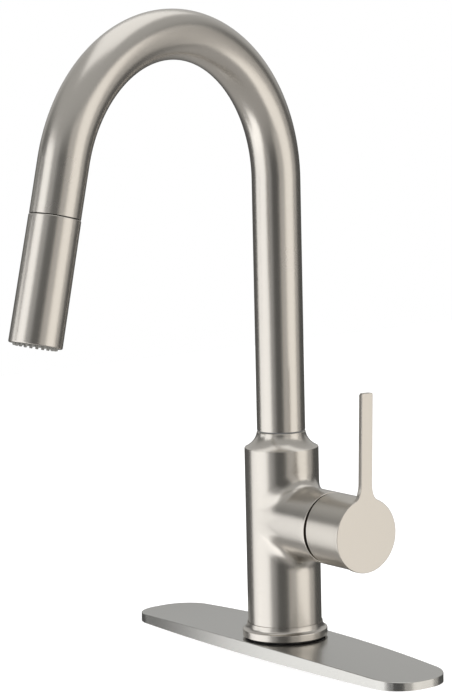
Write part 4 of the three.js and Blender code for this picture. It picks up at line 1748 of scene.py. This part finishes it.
@dataclass
class Studio:
    """White paper set, softboxes and a plain room."""

    room: tuple[float, float, float] = (0.10, 0.10, 0.098)
    ceiling: tuple[float, float, float] = (0.54, 0.54, 0.53)
    ground: tuple[float, float, float] = (0.48, 0.47, 0.455)
    far_wall: tuple[float, float, float] = (0.57, 0.57, 0.56)
    far_heading: float = 233.4
    plinth_half: tuple[float, float] = (0.142, 0.10)
    floor_height: float = -0.26
    floor_half: float = 2.6

    def paper(self, name: str, mesh: Mesh) -> None:
        """Makes one piece of the set, which the metal doesn't mirror.

        Args:
            name: Its name.
            mesh: Its shape, which is used up.
        """
        data = bpy.data.meshes.new(name)
        mesh.to_mesh(data)
        mesh.free()
        data.materials.append(bpy.data.materials.get("white_paper") or Backdrop().dress())
        made = placed(name, data)
        made.visible_glossy = False
        made.visible_shadow = False

    def world(self) -> None:
        """A white room to look at, and a dim one in the metal."""
        world = bpy.data.worlds.new("room")
        world.use_nodes = True
        world.cycles.sampling_method = "NONE"
        tree = Shading(world.node_tree)
        glossy = tree.node("ShaderNodeLightPath", {}, {}).outputs["Is Glossy Ray"]
        way = tree.node("ShaderNodeTexCoord", {}, {}).outputs["Generated"]
        height = tree.part(way, 2)
        lower = tree.mixed(height.eased(-0.75, -0.3), self.ground, self.room)
        round_room = tree.mixed(height.eased(0.2, 0.7), lower, self.ceiling)
        turn = math.radians(self.far_heading)
        far = math.sin(turn) * tree.part(way, 0) - math.cos(turn) * tree.part(way, 1)
        wall = far.eased(0.45, 0.75) * height.eased(0.0, 0.14)
        whole_room = tree.mixed(wall, round_room, self.far_wall)
        colour = tree.mixed(Value(tree, glossy), (1.0, 1.0, 1.0), whole_room)
        shader = tree.node("ShaderNodeBackground", {}, {"Color": colour, "Strength": 1.0})
        tree.node("ShaderNodeOutputWorld", {}, {"Surface": shader.outputs[0]})
        bpy.context.scene.world = world

    def build(self) -> None:
        """Sets the stage and the lights."""
        wide, deep = self.plinth_half
        plinth = bmesh.new()
        size = Matrix.Diagonal((2 * wide, 2 * deep, -self.floor_height, 1))
        place = Matrix.Translation((0, 0, self.floor_height / 2))
        bmesh.ops.create_cube(plinth, size=1.0, matrix=place @ size)
        self.paper("plinth", plinth)
        floor = bmesh.new()
        bmesh.ops.create_grid(
            floor,
            x_segments=1,
            y_segments=1,
            size=self.floor_half,
            matrix=Matrix.Translation((0, 0, self.floor_height)),
        )
        self.paper("floor", floor)
        self.world()
        for light in (
            Softbox("left_wing", -46.5, -0.17, 1.7, 0.74, 1.6, 1.08),
            Softbox("left_softbox", -13.0, -0.20, 1.7, 1.32, 3.2, 1.13),
            Softbox("left_fill", 19.0, 0.25, 1.7, 0.70, 1.9, 0.24),
            Softbox("right_fill", 82.0, 0.25, 1.7, 0.90, 1.9, 0.42, WARM),
            Softbox("right_softbox", 117.5, 0.1, 1.7, 1.35, 2.2, 0.98, WARM),
            Softbox("right_wing", 151.0, 0.25, 1.7, 0.60, 1.9, 0.36, WARM),
            Softbox("top_softbox", 233.4, 1.9, 0.55, 1.5, 2.2, 0.62),
        ):
            light.build()


@dataclass
class Viewpoint:
    """The camera."""

    place: tuple[float, float, float] = (1.371838, -1.056040, 0.412866)
    heading: float = 53.432
    pitch: float = 7.762
    roll: float = -1.309
    lens: float = 155.68

    def build(self) -> None:
        """Stands the camera and makes it the scene's."""
        a, p, r = (math.radians(x) for x in (self.heading, self.pitch, self.roll))
        ahead = Vector((-math.sin(a) * math.cos(p), math.cos(a) * math.cos(p), -math.sin(p)))
        level = Vector((math.cos(a), math.sin(a), 0))
        above = level.cross(ahead)
        right = math.cos(r) * level + math.sin(r) * above
        up = -math.sin(r) * level + math.cos(r) * above
        data = bpy.data.cameras.new("camera")
        data.sensor_width = 36.0
        data.sensor_fit = "AUTO"
        data.lens = self.lens
        data.clip_start, data.clip_end = 0.05, 50.0
        made = placed("camera", data)
        turn = Matrix((right, up, -ahead)).transposed().to_4x4()
        made.matrix_world = Matrix.Translation(self.place) @ turn
        bpy.context.scene.camera = made


def main() -> None:
    """Builds the set, then the faucet from its foot to its spray head."""
    logging.basicConfig(level=logging.INFO, format="%(name)s: %(message)s")
    Viewpoint().build()
    Studio().build()
    bpy.context.scene.view_settings.view_transform = "Standard"
    dress_frame()
    body = Body()
    DeckPlate().build()
    BaseRing().build(body.radius)
    body.build()
    Handle().build()
    gooseneck = Gooseneck()
    gooseneck.build()
    SprayHead().build(gooseneck.head_frame())


if __name__ == "__main__":
    main()
